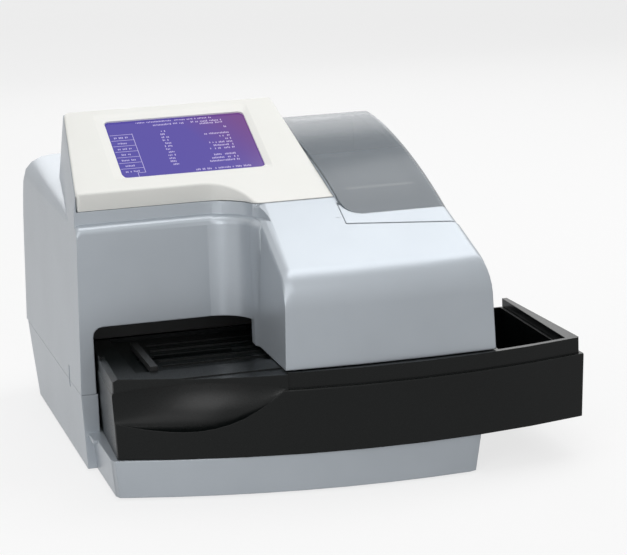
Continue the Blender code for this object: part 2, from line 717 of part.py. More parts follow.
def lower_housing():
    def shape(inset):
        floor = FOOT + inset
        top = SPLIT_Z - GAP + (4.0 if inset else 0.0)
        rings = []
        for z, tuck, side in ((floor, BASE_TUCK, 2.2), (36.0, 14.0, 1.0), (top, 0.0, 0.0)):
            left, right = BODY_L + side + inset, BODY_R - side - inset
            back = BODY_B - tuck - inset
            front = BODY_F + inset
            ring = [(left, front), (right, front), (right, back - 8.0), (right - 8.0, back),
                    (left + 8.0, back), (left, back - 8.0)]
            rings.append([(x, y, z) for x, y in ring])
        return bm_loft(rings)

    def plinth(inset):
        rings = []
        for z, grow in ((FOOT + inset, 0.0), (TRAY_BOTTOM - GAP - inset * 0.8, 2.5)):
            front = []
            for k in range(9):
                x = PLINTH_L + 8.0 + (PLINTH_R - PLINTH_L - 16.0) * k / 8
                front.append((x, TRAY_F + 5.2 - grow * 0.3 + 0.0008 * (x - TRAY_MID) ** 2 + inset))
            left, right = PLINTH_L - grow + inset, PLINTH_R + grow * 2 - inset
            fy0, fy1 = front[0][1] + 8.0, front[-1][1] + 8.0
            ring = [(left, BODY_F + 8.0), (left, fy0), (left + 2.3, fy0 - 5.7)] + front
            ring += [(right - 2.3, fy1 - 5.7), (right, fy1), (right, BODY_F + 8.0)]
            rings.append([(x, y, z) for x, y in ring])
        return bm_loft(rings)

    shell = fuse(shape(0.0), plinth(0.0))
    hollow = fuse(shape(WALL), plinth(WALL))
    shell = cut(shell, hollow)
    # Deck that carries the tray, and the wall behind it
    shelf = bm_box(BODY_L + WALL + 1.0, BODY_R - WALL - 1.0, -100.0, TRAY_B + 2 * WALL,
                   TRAY_BOTTOM - GAP - WALL, TRAY_BOTTOM - GAP)
    back = bm_box(BODY_L + WALL + 1.0, BODY_R - WALL - 1.0, TRAY_B + WALL, TRAY_B + 2 * WALL, FOOT + 1.0,
                  SPLIT_Z - GAP - 4.0)
    shell = fuse(shell, shelf, back)
    bosses = [bm_rod((x, y, FOOT + WALL - 1.0), (x, y, BOARD_Z - GAP), 4.0, 10) for x, y in BOARD_HOLES]
    shell = fuse(shell, *bosses)
    for x, y in SCREWS.values():
        side = -1 if x < 0 else 1
        rib = bm_box(min(x + side * 4.0, x + side * 9.8), max(x + side * 4.0, x + side * 9.8),
                     y - 1.5, y + 1.5, FOOT + 2.0, SPLIT_Z - GAP - 1.0)
        boss = bm_rod((x, y, FOOT + 1.0), (x, y, SPLIT_Z - GAP - 0.5), BOSS_R, 12)
        shell = cut(fuse(shell, boss, rib),
                    bm_rod((x, y, FOOT - 2.0), (x, y, SPLIT_Z + 2.0), SCREW_R + GAP, 12),
                    bm_rod((x, y, FOOT - 2.0), (x, y, FOOT + 2.5), SCREW_HEAD_R + GAP, 16))
    notch = bm_box(BODY_L - 2.0, BODY_L + 1.2, -24.0, -19.0, 59.0, 70.0)
    feet = [bm_rod((x, y, 0.0), (x, y, FOOT + FOOT_SINK), FOOT_R + GAP, 16) for x, y in FEET.values()]
    vents = [bm_box(BODY_R - 6.0, BODY_R + 4.0, 40.0 + 9.0 * k, 44.0 + 9.0 * k, 20.0, 52.0)
             for k in range(10)]
    base_vents = [bm_box(-120.0 + 22.0 * k, -114.0 + 22.0 * k, -160.0, -110.0, -1.0, FOOT + WALL + 1.0)
                  for k in range(9)]
    shell = cut(shell, tray_room(), notch, join(*feet), join(*vents), join(*base_vents))
    return node("lower_housing", shell, SILVER)


def rubber_feet():
    for name, (x, y) in FEET.items():
        node("foot_" + name, bm_rod((x, y, 0.0), (x, y, FOOT + FOOT_SINK - GAP), FOOT_R, 16), RUBBER,
             origin=(x, y, 0.0))


def bezel_solid(grow=0.0, above=0.0):
    """Roof plate with a skirt at the front; grown, it is the room the housing leaves for it."""
    edge = RIDGE_Y + grow
    plan = nook(-grow) + [(bezel_r(edge) + grow, edge), (bezel_l(edge) - grow, edge)]
    base = BEZEL_FOOT_Z + GAP - grow
    block = bm_loft([[(x, y, base) for x, y in plan], [(x, y, roof(y) + above) for x, y in plan]])
    # Hollow it from below; only the front keeps a skirt
    spare = 12.0
    under = nook(WALL + grow)
    under[0] = (under[0][0] - spare, under[0][1])
    under[-1] = (under[-1][0] + spare, under[-1][1])
    under += [(bezel_r(RIDGE_Y) + spare, RIDGE_Y + spare), (bezel_l(RIDGE_Y) - spare, RIDGE_Y + spare)]
    low = [(x, y, 190.0) for x, y in under]
    return cut(block, bm_loft([low, [(x, y, roof(y) - BEZEL_T - grow) for x, y in under]]))


def display_bezel():
    plate = bezel_solid()
    slope = math.atan(TILT)
    window = bm_box(LCD_L - 1.0, LCD_L + LCD_W + 1.0, -1.0, LCD_H + 1.0, -12.0, 12.0)
    turned(window, slope, "X", (0, 0, 0))
    bmesh.ops.translate(window, verts=window.verts, vec=(0, LCD_Y0, roof(LCD_Y0)))
    # The opening's sides slope in towards the screen
    run = 7.0
    rings = []
    for lift, grow in ((-SCREEN_RECESS, 1.0), (2.0, 1.0 + run)):
        rings.append([(LCD_L - grow * 1.6, -grow, lift), (LCD_L + LCD_W + grow, -grow, lift),
                      (LCD_L + LCD_W + grow, LCD_H + grow, lift), (LCD_L - grow * 1.6, LCD_H + grow, lift)])
    funnel = bm_loft(rings)
    turned(funnel, slope, "X", (0, 0, 0))
    bmesh.ops.translate(funnel, verts=funnel.verts, vec=(0, LCD_Y0, roof(LCD_Y0)))
    return node("display_bezel", cut(plate, window, funnel), WHITE)


def on_roof(bm):
    """Lay a piece built flat, with z = 0 on the bezel's face, onto the display plane."""
    turned(bm, math.atan(TILT), "X", (0, 0, 0))
    bmesh.ops.translate(bm, verts=bm.verts, vec=(0, LCD_Y0, roof(LCD_Y0)))
    return bm


def screen_parts():
    under = -BEZEL_T * math.cos(math.atan(TILT)) - GAP
    glass = bm_box(LCD_L - 4.0, LCD_L + LCD_W + 4.0, -4.0, LCD_H + 4.0, under - GLASS_T, under)
    node("touch_panel", on_roof(glass), ((0.03, 0.02, 0.08), 0.12), alpha=0.35)
    panel_top = under - GLASS_T - GAP
    panel = bm_box(LCD_L - 3.6, LCD_L + LCD_W + 3.6, -3.6, LCD_H + 3.6, panel_top - 6.0, panel_top)
    node("lcd_module", on_roof(panel), ((0.10, 0.08, 0.38), 0.3))
    low = panel_top - 6.0 - GAP
    plate = bm_box(LCD_L - 4.4, LCD_L + LCD_W + 4.4, -4.4, LCD_H + 4.4, low - 1.2, low)
    # Ears reach up to the underside of the housing's roof
    ear_top = -(BEZEL_T + GAP + WALL) * math.cos(math.atan(TILT)) - GAP
    rows = (10.0, LCD_H - 18.0)
    arms = [bm_box(LCD_L - 14.5, LCD_L + LCD_W + 14.5, y, y + 8.0, low - 1.0, low - 0.1) for y in rows]
    ears = [bm_box(x, x + 6.0, y + 0.1, y + 7.9, low - 0.9, ear_top)
            for x in (LCD_L - 14.4, LCD_L + LCD_W + 8.4) for y in rows]
    node("lcd_bracket", on_roof(fuse(plate, *arms, *ears)), ZINC)


def edge_sink(distance):
    """How far the rounded right edge lies below the surface, at a distance from the side wall."""
    share = max(0.0, min(1.0, (RIGHT_EDGE - distance) / RIGHT_EDGE))
    return RIGHT_EDGE * (1.0 - math.sqrt(1.0 - share ** 2))


def cover_shell(u0, beyond, depth0, depth1, y0, y1, steps=12):
    """Curved plate under the cover's arc, between two depths, turned down along the right wall.

    It ends at the cover's right edge, or beyond it by the given distance.
    """
    last = beyond - COVER_REVEAL
    rings = []
    for k in range(steps + 1):
        y = y0 + (y1 - y0) * k / steps
        wall = bay_wall(y, cover_z(y))
        across = [u0] + [wall - d for d in EDGE_STEPS if -d < last - 0.5] + [wall + last]
        ring = []
        for line, depth in ((across, depth0), (across[::-1], depth1)):
            ring += [bay_point(u, y, cover_z(y, depth) - edge_sink(wall - u)) for u in line]
        rings.append(ring)
    return bm_loft(rings)


def cover_corner(radius):
    """Piece to take off the cover's front-left corner so that it comes out round."""
    points = [(COVER_U0 + radius - radius * math.cos(t), COVER_Y0 + radius - radius * math.sin(t))
              for t in [math.radians(6.0 + 13.0 * k) for k in range(7)]]
    points = [(COVER_U0 - 5.0, COVER_Y0 + CORNER_REACH * radius)] + points
    points += [(COVER_U0 + 1.6 * radius, COVER_Y0 - 5.0), (COVER_U0 - 5.0, COVER_Y0 - 5.0)]
    return bm_prism([bay_point(u, y, 0.0)[:2] for u, y in points], "z", 180.0, 240.0)


def cover_axis():
    """Hinge line of the printer cover: a point and its direction."""
    y = COVER_Y1 - HINGE_BACK
    return y, cover_z(y, COVER_T + HINGE_UNDER)


def printer_cover():
    plate = cover_shell(COVER_U0, 0.0, 0.0, COVER_T, COVER_Y0, COVER_Y1)
    # Knuckles under its back edge hold the pin
    hy, hz = cover_axis()
    web_f, web_b = hy - 4.4, hy + 0.2
    knuckles = []
    for u in KNUCKLE_U:
        a, b = Vector(bay_point(u, hy, hz)), Vector(bay_point(u + KNUCKLE_W, hy, hz))
        knuckles.append(bm_rod(a, b, KNUCKLE_R, 12))
        knuckles.append(bm_loft([[(p.x, p.y + web_f - hy, hz - 1.0), (p.x, p.y + web_b - hy, hz - 1.0),
                                  (p.x, p.y + web_b - hy, cover_z(web_b, 1.2)),
                                  (p.x, p.y + web_f - hy, cover_z(web_f, 1.2))] for p in (a, b)]))
    cover = cut(fuse(plate, *knuckles), cover_corner(COVER_CORNER))
    bores = [bay_rod(u - 1.0, u + KNUCKLE_W + 1.0, hy, hz, PIN_BORE_R, 12) for u in KNUCKLE_U]
    hinge = bay_point(0.0, hy, hz)
    node("printer_cover", cut(cover, join(*bores)), SMOKE, origin=hinge, alpha=0.45)
    # The grip fills in the window's round corner
    corner = keep(cover_grip(back=COVER_Y0 + CORNER_REACH * COVER_CORNER), cover_corner(COVER_CORNER - GAP))
    node("cover_grip", fuse(cover_grip(), corner), WHITE, origin=hinge)


def cover_grip(grow=0.0, above=GRIP_PROUD, below=GRIP_T, back=COVER_Y0 - GAP, spare=0.0):
    """Strip that the cover is lifted by, lying on the hood in front of the smoked window."""
    last = spare - GRIP_REVEAL
    taper = 0.0 if grow else GRIP_TAPER

    def corner(column, y, slant):
        """Plan position in a column, on the front line where slant is 1, and its distance to the wall."""
        x = GRIP_L - grow
        for _ in range(3):
            line = y + slant * GRIP_SLANT * (x - GRIP_L)
            wall = roof_wall_r(line, roof(line) - HOOD_DROP)
            x = GRIP_L - grow if column is None else wall + column
        return x, line, wall - x

    front, back, below = GRIP_F - grow, back + grow, below + grow
    rings = []
    for column in [None] + [-d for d in EDGE_STEPS if -d < last - 0.5] + [last]:
        ring = []
        for y, slant, lift in ((front + taper, 1, -below), (back, 0, -below), (back, 0, above),
                               (front, 1, above)):
            x, line, inside = corner(column, y, slant)
            ring.append((x, line, roof(line) - HOOD_DROP + lift - edge_sink(inside)))
        rings.append(ring)
    return bm_loft(rings)


def base_screws():
    for name, (x, y) in SCREWS.items():
        shaft = bm_rod((x, y, FOOT + 1.0), (x, y, SCREW_END - 1.0), SCREW_R, 12)
        head = bm_rod((x, y, FOOT + 0.2), (x, y, FOOT + 2.5 - GAP), SCREW_HEAD_R, 16)
        cross = [bm_box(x - 2.0, x + 2.0, y - 0.4, y + 0.4, FOOT, FOOT + 1.0)]
        node("base_screw_" + name, cut(fuse(head, shaft), *cross), ZINC, origin=(x, y, FOOT))


def strip_tray():
    lip = bm_loft([[(x, y, z) for x, y in tray_outline(step)]
                   for z, step in ((TRAY_BOTTOM, 1.6), (TRAY_LEDGE - 1.0, 0.0), (TRAY_LEDGE, 0.6))])
    rim = bm_loft([[(x, y, z) for x, y in tray_outline(TRAY_RIM)] for z in (TRAY_LEDGE - 2.0, TRAY_TOP)])
    block = bm_prism(tray_outline(0.6, x1=HOOD_L), "z", TRAY_LEDGE - 0.5, TRAY_TOP)
    body = fuse(lip, rim, block)
    floor = TRAY_BOTTOM + TRAY_WALL
    channel = bm_box(BLOCK_R + 3.0, BAY_L - BAY_WALL, PLAT_F + 2.5, BAY_B, floor, 130.0)
    bay = bm_prism(tray_outline(TRAY_SKIN, BAY_L, tray_right(-60.0, TRAY_SKIN), BAY_B), "z", floor, 130.0)
    pocket = bm_box(POCKET_L, BLOCK_R, POCKET_F, POCKET_B, TRAY_BOTTOM - 5.0, PLAT_TOP - PLAT_T - DECK_T)
    under_dish = bm_prism(tray_outline(TRAY_SKIN, POCKET_L, BLOCK_R, POCKET_F - 3.0), "z",
                          TRAY_BOTTOM - 5.0, POCKET_TOP)
    under_hood = bm_prism(tray_outline(TRAY_SKIN, BLOCK_R + 3.0, BAY_L - BAY_WALL, PLAT_F - 0.5), "z",
                          TRAY_BOTTOM - 5.0, TRAY_TOP - DECK_T)
    seat = bm_box(PLAT_L - GAP, PLAT_R + GAP, PLAT_F - GAP, PLAT_B + GAP, PLAT_TOP - PLAT_T - GAP, 130.0)
    slot = bm_box(PUSH_X0 - STEM_W, PUSH_X0 + PUSH_TRAVEL + STEM_W, PUSH_Y - STEM_W, PUSH_Y + STEM_W,
                  80.0, 120.0)
    over = TRAY_TOP + 5.0
    step = bm_box(-220.0, HOOD_L, -240.0, FRONT_LINE, TRAY_TOP - FRONT_DROP, over)
    slant = bm_loft([[(tray_left(y) - 2.0, y, TRAY_TOP - STRIP_DROP * (1.0 + 2.0 / STRIP_W)),
                      (tray_left(y) + STRIP_W, y, TRAY_TOP), (tray_left(y) + STRIP_W, y, over),
                      (tray_left(y) - 2.0, y, over)] for y in (-240.0, STRIP_Y)])
    # Strips leave the platform over this low wall and drop into the waste box
    chute = bm_box(PLAT_R - 1.0, BAY_L + 1.0, PLAT_F + 4.0, PLAT_B - 4.0, PLAT_TOP - RAIL_H, 130.0)
    body = cut(body, channel, bay, pocket, under_dish, under_hood, seat, step, slant, finger_dish(), slot,
               chute)
    posts = [bm_rod((x, POST_Y, floor - 1.0), (x, POST_Y, CARRIER_Z0 + CARRIER_T + BEAM_LIFT), POST_R, 12)
             for x in POST_X]
    return node("strip_tray", fuse(body, *posts), BLACK)


def strip_platform():
    z0 = PLAT_TOP - PLAT_T
    plate = bm_box(PLAT_L, PLAT_R, PLAT_F, PLAT_B, z0, PLAT_TOP - RAIL_H)
    rails = [bm_box(PLAT_L + 26.0, PLAT_R - 2.0, y, y + RAIL_W, PLAT_TOP - RAIL_H - 0.3, PLAT_TOP)
             for y in RAIL_Y]
    stem = bm_box(PUSH_X0 - STEM_W, PUSH_X0 + PUSH_TRAVEL + STEM_W, PUSH_Y - STEM_W, PUSH_Y + STEM_W,
                  z0 - 5.0, 120.0)
    slots = [bm_box(BEAM_X0 - RUN, BEAM_X1 + BEAM_STEP + RUN, y - BEAM_W / 2 - RUN, y + BEAM_W / 2 + RUN,
                    z0 - 5.0, 120.0) for y in BEAM_Y]
    return node("strip_platform", cut(fuse(plate, *rails), stem, *slots), BLACK)


def pusher():
    top = PLAT_TOP + RUN + PUSH_H
    bar = bm_box(PUSH_X0 - PUSH_W / 2, PUSH_X0 + PUSH_W / 2, PUSH_F, PUSH_B, PLAT_TOP + RUN, top)
    stem = bm_box(PUSH_X0 - STEM_W / 2, PUSH_X0 + STEM_W / 2, PUSH_Y - 2.0, PUSH_Y + 2.0,
                  PUSH_ROD_Z, top - 1.0)
    block = bm_box(PUSH_X0 - 9.0, PUSH_X0 + 9.0, PUSH_Y - 6.0, PUSH_Y + 6.0, PUSH_ROD_Z - 6.0,
                   PUSH_ROD_Z + 6.0)
    arm = bm_box(PUSH_X0 - 5.0, PUSH_X0 + 5.0, PUSH_Y + 5.0, PUSH_BELT_Y + BELT_W / 2 - 1.0,
                 PUSH_ROD_Z - 5.0, PUSH_ROD_Z + BELT_R - BELT_T - RUN)
    carriage = fuse(bar, stem, block, arm)
    bore = bm_rod((PUSH_X0 - 20.0, PUSH_Y, PUSH_ROD_Z), (PUSH_X0 + 20.0, PUSH_Y, PUSH_ROD_Z),
                  PUSH_ROD_R + 0.3, 16)
    node("push_bar", cut(carriage, bore), BLACK, origin=(PUSH_X0, PUSH_Y, PUSH_ROD_Z))
    node("pusher_rod", bm_rod((POCKET_L + GAP, PUSH_Y, PUSH_ROD_Z), (BLOCK_R - GAP, PUSH_Y, PUSH_ROD_Z),
                              PUSH_ROD_R, 16), STEEL)
    belt_loop("pusher_belt", "x", PUSH_PULLEY_X, PUSH_BELT_Y, PUSH_ROD_Z)
    for name, x in zip(("pusher_idler", "pusher_pulley"), PUSH_PULLEY_X):
        wheel = bm_rod((x, PUSH_BELT_Y - BELT_W / 2, PUSH_ROD_Z), (x, PUSH_BELT_Y + BELT_W / 2, PUSH_ROD_Z),
                       BELT_R - BELT_T - GAP, 20)
        shaft = bm_rod((x, PUSH_BELT_Y - 4.0, PUSH_ROD_Z), (x, PUSH_BELT_Y + 6.0, PUSH_ROD_Z), 1.5, 12)
        node(name, fuse(wheel, shaft), STEEL, origin=(x, PUSH_BELT_Y, PUSH_ROD_Z))
    motor("pusher_motor", (PUSH_PULLEY_X[1], PUSH_BELT_Y + 6.0 + GAP, PUSH_ROD_Z), "y")
    x = PUSH_PULLEY_X[0]
    node("idler_bracket", bm_box(x - 8.0, x + 8.0, PUSH_BELT_Y + 6.0 + GAP, PUSH_BELT_Y + 9.0,
                                 PUSH_ROD_Z - 8.0, PLAT_TOP - PLAT_T - DECK_T - GAP), ZINC)


def belt_loop(name, axis, ends, offset, height):
    """Closed toothless belt round two pulleys; axis is the way it runs."""
    def ring(radius):
        near = arc(ends[0], height, radius, radius, 90, 270, 8)
        far = arc(ends[1], height, radius, radius, -90, 90, 8)
        return near + far
    outer, inner = ring(BELT_R), ring(BELT_R - BELT_T)

    def place(a, c, b):
        return (a, c, b) if axis == "x" else (c, a, b)
    low, high = offset - BELT_W / 2 + 0.4, offset + BELT_W / 2 - 0.4
    bm = bmesh.new()
    rows = []
    for loop, side in ((outer, low), (outer, high), (inner, high), (inner, low)):
        rows.append([bm.verts.new(place(a, side, b)) for a, b in loop])
    count = len(outer)
    for k in range(4):
        first, second = rows[k], rows[(k + 1) % 4]
        for i in range(count):
            j = (i + 1) % count
            bm.faces.new((first[i], first[j], second[j], second[i]))
    bmesh.ops.recalc_face_normals(bm, faces=bm.faces)
    return node(name, bm, RUBBER)


def motor(name, start, axis, length=MOTOR_LEN):
    """Round stepper motor standing off from start along +axis."""
    step = {"x": Vector((1, 0, 0)), "y": Vector((0, 1, 0))}[axis]
    a = Vector(start)
    can = bm_rod(a, a + step * length, MOTOR_R, 20)
    flange = bm_rod(a + step * 1.0, a + step * 3.0, MOTOR_R + 2.0, 20)
    return node(name, fuse(can, flange), STEEL)


def walking_beam():
    bars = [bm_box(BEAM_X0, BEAM_X1, y - BEAM_W / 2, y + BEAM_W / 2, CARRIER_Z0 + CARRIER_T + GAP, BEAM_TOP)
            for y in BEAM_Y]
    cross = [bm_box(x, x + 12.0, BEAM_Y[0], BEAM_Y[1], CARRIER_Z0 + CARRIER_T + GAP + 0.1,
                    CARRIER_Z0 + CARRIER_T + 4.0) for x in (BEAM_X0 + 6.0, BEAM_X1 - 18.0)]
    node("walking_beam", fuse(bars[0], *cross, bars[1]), BLACK)
    plate = bm_box(BEAM_X0 + 2.0, BEAM_X1 + 12.0, BEAM_Y[0] - 8.0, BEAM_Y[1] + 8.0, CARRIER_Z0,
                   CARRIER_Z0 + CARRIER_T)
    holes = [bm_rod((x, POST_Y, 50.0), (x, POST_Y, 90.0), POST_R + 0.4, 16) for x in POST_X]
    node("beam_carrier", cut(plate, *holes), ZINC)
    floor = TRAY_BOTTOM + TRAY_WALL + GAP
    posts = [bm_box(x - 6.0, x + 6.0, POST_Y + 12.0, POST_Y + 24.0, floor, CARRIER_Z0 - GAP)
             for x in (POST_X[0] + 10.0, POST_X[1] - 10.0)]
    base = bm_box(POST_X[0] + 8.0, POST_X[1] - 8.0, POST_Y + 12.1, POST_Y + 23.9, floor, floor + 4.0)
    node("beam_lifter", fuse(posts[0], base, posts[1]), ZINC)


def waste_box():
    def plan(grow):
        return tray_outline(TRAY_SKIN + RUN + grow, BAY_L + RUN + grow,
                            tray_right(-60.0, TRAY_SKIN) - RUN - grow, BAY_B - RUN - grow)
    outer = bm_prism(plan(0.0), "z", BOX_FLOOR, BOX_TOP)
    inner = bm_prism(plan(BOX_WALL), "z", BOX_FLOOR + BOX_WALL, BOX_TOP + 10.0)
    return node("waste_box", cut(outer, inner), BLACK)


def printer_parts():
    block = bay_box(TUB_U0, TUB_U1, TUB_F, TUB_B, TUB_Z, 300.0)
    lid = cover_shell(-10.0, 25.0, -130.0, COVER_T + GAP + 0.4, TUB_F - 30.0, TUB_B + 14.0, 16)
    hollow = bay_box(TUB_U0 + TUB_WALL, TUB_U1 - TUB_WALL, TUB_F + TUB_WALL, TUB_B - TUB_WALL,
                     TUB_Z + TUB_WALL, 310.0)
    hy, hz = cover_axis()
    pin_hole = bay_rod(TUB_U0 - 3.0, TUB_U1 + 3.0, hy, hz, PIN_BORE_R, 12)
    tail_room = bay_box(-10.0, 110.0, hy + TAIL_BACK, hy + 20.0, hz + 0.1, 320.0)
    tub = cut(block, lid, hollow, pin_hole, tail_room)
    node("printer_tub", tub, GREY)
    node("cover_hinge_pin", bay_rod(TUB_U0 + 0.2, TUB_U1 - 0.2, hy, hz, PIN_R, 12), STEEL)
    rz = cover_z(ROLL_Y) - COVER_T - ROLL_R - 3.5
    mid = (TUB_U0 + TUB_U1) / 2
    a, b = bay_point(mid - ROLL_W / 2, ROLL_Y, rz), bay_point(mid + ROLL_W / 2, ROLL_Y, rz)
    node("paper_roll", bm_tube(a, b, ROLL_R, CORE_R, 28), WHITE, origin=bay_point(mid, ROLL_Y, rz))
    spindle = fuse(bay_rod(TUB_U0 + TUB_WALL + 0.4, TUB_U1 - TUB_WALL - 0.4, ROLL_Y, rz, SPINDLE_R, 16),
                   bay_rod(mid - ROLL_W / 2 + 1.0, mid + ROLL_W / 2 - 1.0, ROLL_Y, rz, CORE_R - GAP, 16))
    node("roll_spindle", spindle, GREY, origin=bay_point(mid, ROLL_Y, rz))
    pz = cover_z(PLATEN_Y) - COVER_T - PLATEN_R - 4.5
    ty = PLATEN_Y - 7.0
    tz = cover_z(ty) - COVER_T - GAP - 2.8
    back = bay_box(10.0, 75.0, PLATEN_Y + 8.0, PLATEN_Y + 24.0, TUB_Z + TUB_WALL + GAP, pz + 2.0)
    cheeks = [bay_box(u, u + 3.0, PLATEN_Y - 7.0, PLATEN_Y + 8.5, pz - 8.0, tz - GAP) for u in (9.5, 72.5)]
    bores = bay_rod(5.0, 80.0, PLATEN_Y, pz, 1.9, 12)
    node("printer_mechanism", cut(fuse(back, *cheeks), bores), GREY)
    roller = fuse(bay_rod(13.0, 72.0, PLATEN_Y, pz, PLATEN_R, 20),
                  bay_rod(9.0, 76.0, PLATEN_Y, pz, 1.6, 12))
    node("platen_roller", roller, RUBBER, origin=bay_point(mid, PLATEN_Y, pz))
    teeth = bay_box(9.5, 75.5, ty - 3.0, ty + 3.0, tz, tz + 1.2)
    node("tear_bar", teeth, STEEL)


def reading_head():
    top = bm_box(CHASSIS_L, CHASSIS_R, ROD_F - 2.0, ROD_B + 2.0, CHASSIS_Z, CHASSIS_Z + CHASSIS_T)
    ends = [bm_box(CHASSIS_L, CHASSIS_R, y, y + CHASSIS_T, HEAD_Z0 + 2.0, CHASSIS_Z + 0.5)
            for y in (ROD_F - 2.0, ROD_B + 2.0 - CHASSIS_T)]
    holes = [bm_rod((x, ROD_F - 5.0, ROD_Z), (x, ROD_B + 5.0, ROD_Z), ROD_R + 0.3, 16) for x in ROD_X]
    side = bm_box(CHASSIS_R - CHASSIS_T, CHASSIS_R, ROD_F - 1.9, ROD_B + 1.9, HEAD_Z0 + 2.0,
                  CHASSIS_Z + 0.5)
    node("head_chassis", cut(fuse(top, *ends, side), *holes), ZINC)
    for name, x in zip(("head_rod_left", "head_rod_right"), ROD_X):
        node(name, bm_rod((x, ROD_F - 2.0, ROD_Z), (x, ROD_B + 2.0, ROD_Z), ROD_R, 16), STEEL)
    y0, y1 = HEAD_B - HEAD_LEN, HEAD_B
    block = bm_box(HEAD_L, HEAD_R, y0, y1, HEAD_Z0, HEAD_Z1)
    mid_x, mid_y = (HEAD_L + HEAD_R) / 2, HEAD_B - HEAD_LEN / 2

    def upright(low, high, radius, sides):
        return bm_rod((mid_x, mid_y, HEAD_Z0 + low), (mid_x, mid_y, HEAD_Z0 + high), radius, sides)
    snout = upright(-12.0, 1.0, 11.0, 20)
    grip = bm_box(HEAD_R - 1.0, HEAD_BELT_X + BELT_W / 2 - 0.5, y0 + 12.0, y1 - 12.0, ROD_Z - 3.0,
                  ROD_Z + BELT_R - BELT_T - RUN)
    bores = [bm_rod((x, y0 - 5.0, ROD_Z), (x, y1 + 5.0, ROD_Z), ROD_R + GAP, 16) for x in ROD_X]
    seat = upright(-13.0, -6.0, LENS_R + GAP, 16)
    node("reading_head", cut(fuse(block, snout, grip), *bores, seat), GREY)
    node("head_lens", upright(-11.5, -6.0 - GAP, LENS_R, 16), CLEAR, alpha=0.4)
    belt_loop("head_belt", "y", HEAD_PULLEY_Y, HEAD_BELT_X, ROD_Z)
    for name, y in zip(("head_idler", "head_pulley"), HEAD_PULLEY_Y):
        wheel = bm_rod((HEAD_BELT_X - BELT_W / 2, y, ROD_Z), (HEAD_BELT_X + BELT_W / 2, y, ROD_Z),
                       BELT_R - BELT_T - GAP, 20)
        shaft = bm_rod((HEAD_BELT_X - 4.0, y, ROD_Z), (CHASSIS_R - CHASSIS_T - GAP, y, ROD_Z), 1.5, 12)
        node(name, fuse(wheel, shaft), STEEL, origin=(HEAD_BELT_X, y, ROD_Z))
    motor("head_motor", (CHASSIS_R + GAP, HEAD_PULLEY_Y[1], ROD_Z), "x", FLAT_MOTOR_LEN)
    pad = bm_box(30.0, 50.0, -57.0, -41.0, PLAT_TOP - RAIL_H + GAP, PLAT_TOP + 1.0)
    node("calibration_plate", pad, WHITE)


def electronics():
    top = BOARD_Z + BOARD_T
    board = bm_box(BOARD_X0, BOARD_X1, BOARD_Y0, BOARD_Y1, BOARD_Z, top)
    chips = [bm_box(x, x + w, y, y + d, top - 0.6, top + h) for x, y, w, d, h in (
        (-150.0, 30.0, 30.0, 12.0, 3.5), (-150.0, 52.0, 30.0, 12.0, 3.5), (-60.0, 110.0, 14.0, 14.0, 12.0),
        (-30.0, 40.0, 20.0, 26.0, 8.0), (-140.0, 120.0, 50.0, 8.0, 9.0), (-5.0, 100.0, 16.0, 16.0, 18.0))]
    holes = [bm_rod((x, y, 5.0), (x, y, 25.0), 1.8, 10) for x, y in BOARD_HOLES]
    node("main_board", cut(fuse(board, *chips), *holes), BOARD)
    node("processor", bm_box(-100.0, -72.0, 60.0, 88.0, top + GAP, top + 3.4), GREY)
    node("backup_battery", bm_rod((-30.0, 85.0, top + GAP), (-30.0, 85.0, top + 4.4), 10.0, 20), STEEL)
    x0, x1, y0, y1, z0, z1 = SUPPLY
    case = bm_box(x0, x1, y0, y1, z0, z1)
    slots = [bm_box(x0 + 8.0, x1 - 8.0, y0 + 12.0 + 12.0 * k, y0 + 16.0 + 12.0 * k, z1 - 2.0, z1 + 2.0)
             for k in range(9)]
    node("power_supply", cut(case, join(*slots)), ZINC)


def alcove_liner():
    """Black sheet round the strip path behind the loading opening."""
    x0, x1 = DOOR_L - 4.0, LINER_R
    front, back = BODY_F + WALL + GAP, LINER_B
    low, high = TRAY_TOP + RUN, DOOR_TOP + 3.0
    block = bm_box(x0, x1, front, back, low, high)
    room = bm_box(x0 + LINER_T, x1 + 5.0, front - 5.0, back - LINER_T, low - 5.0, high - LINER_T)
    node("alcove_liner", cut(block, room), BLACK)


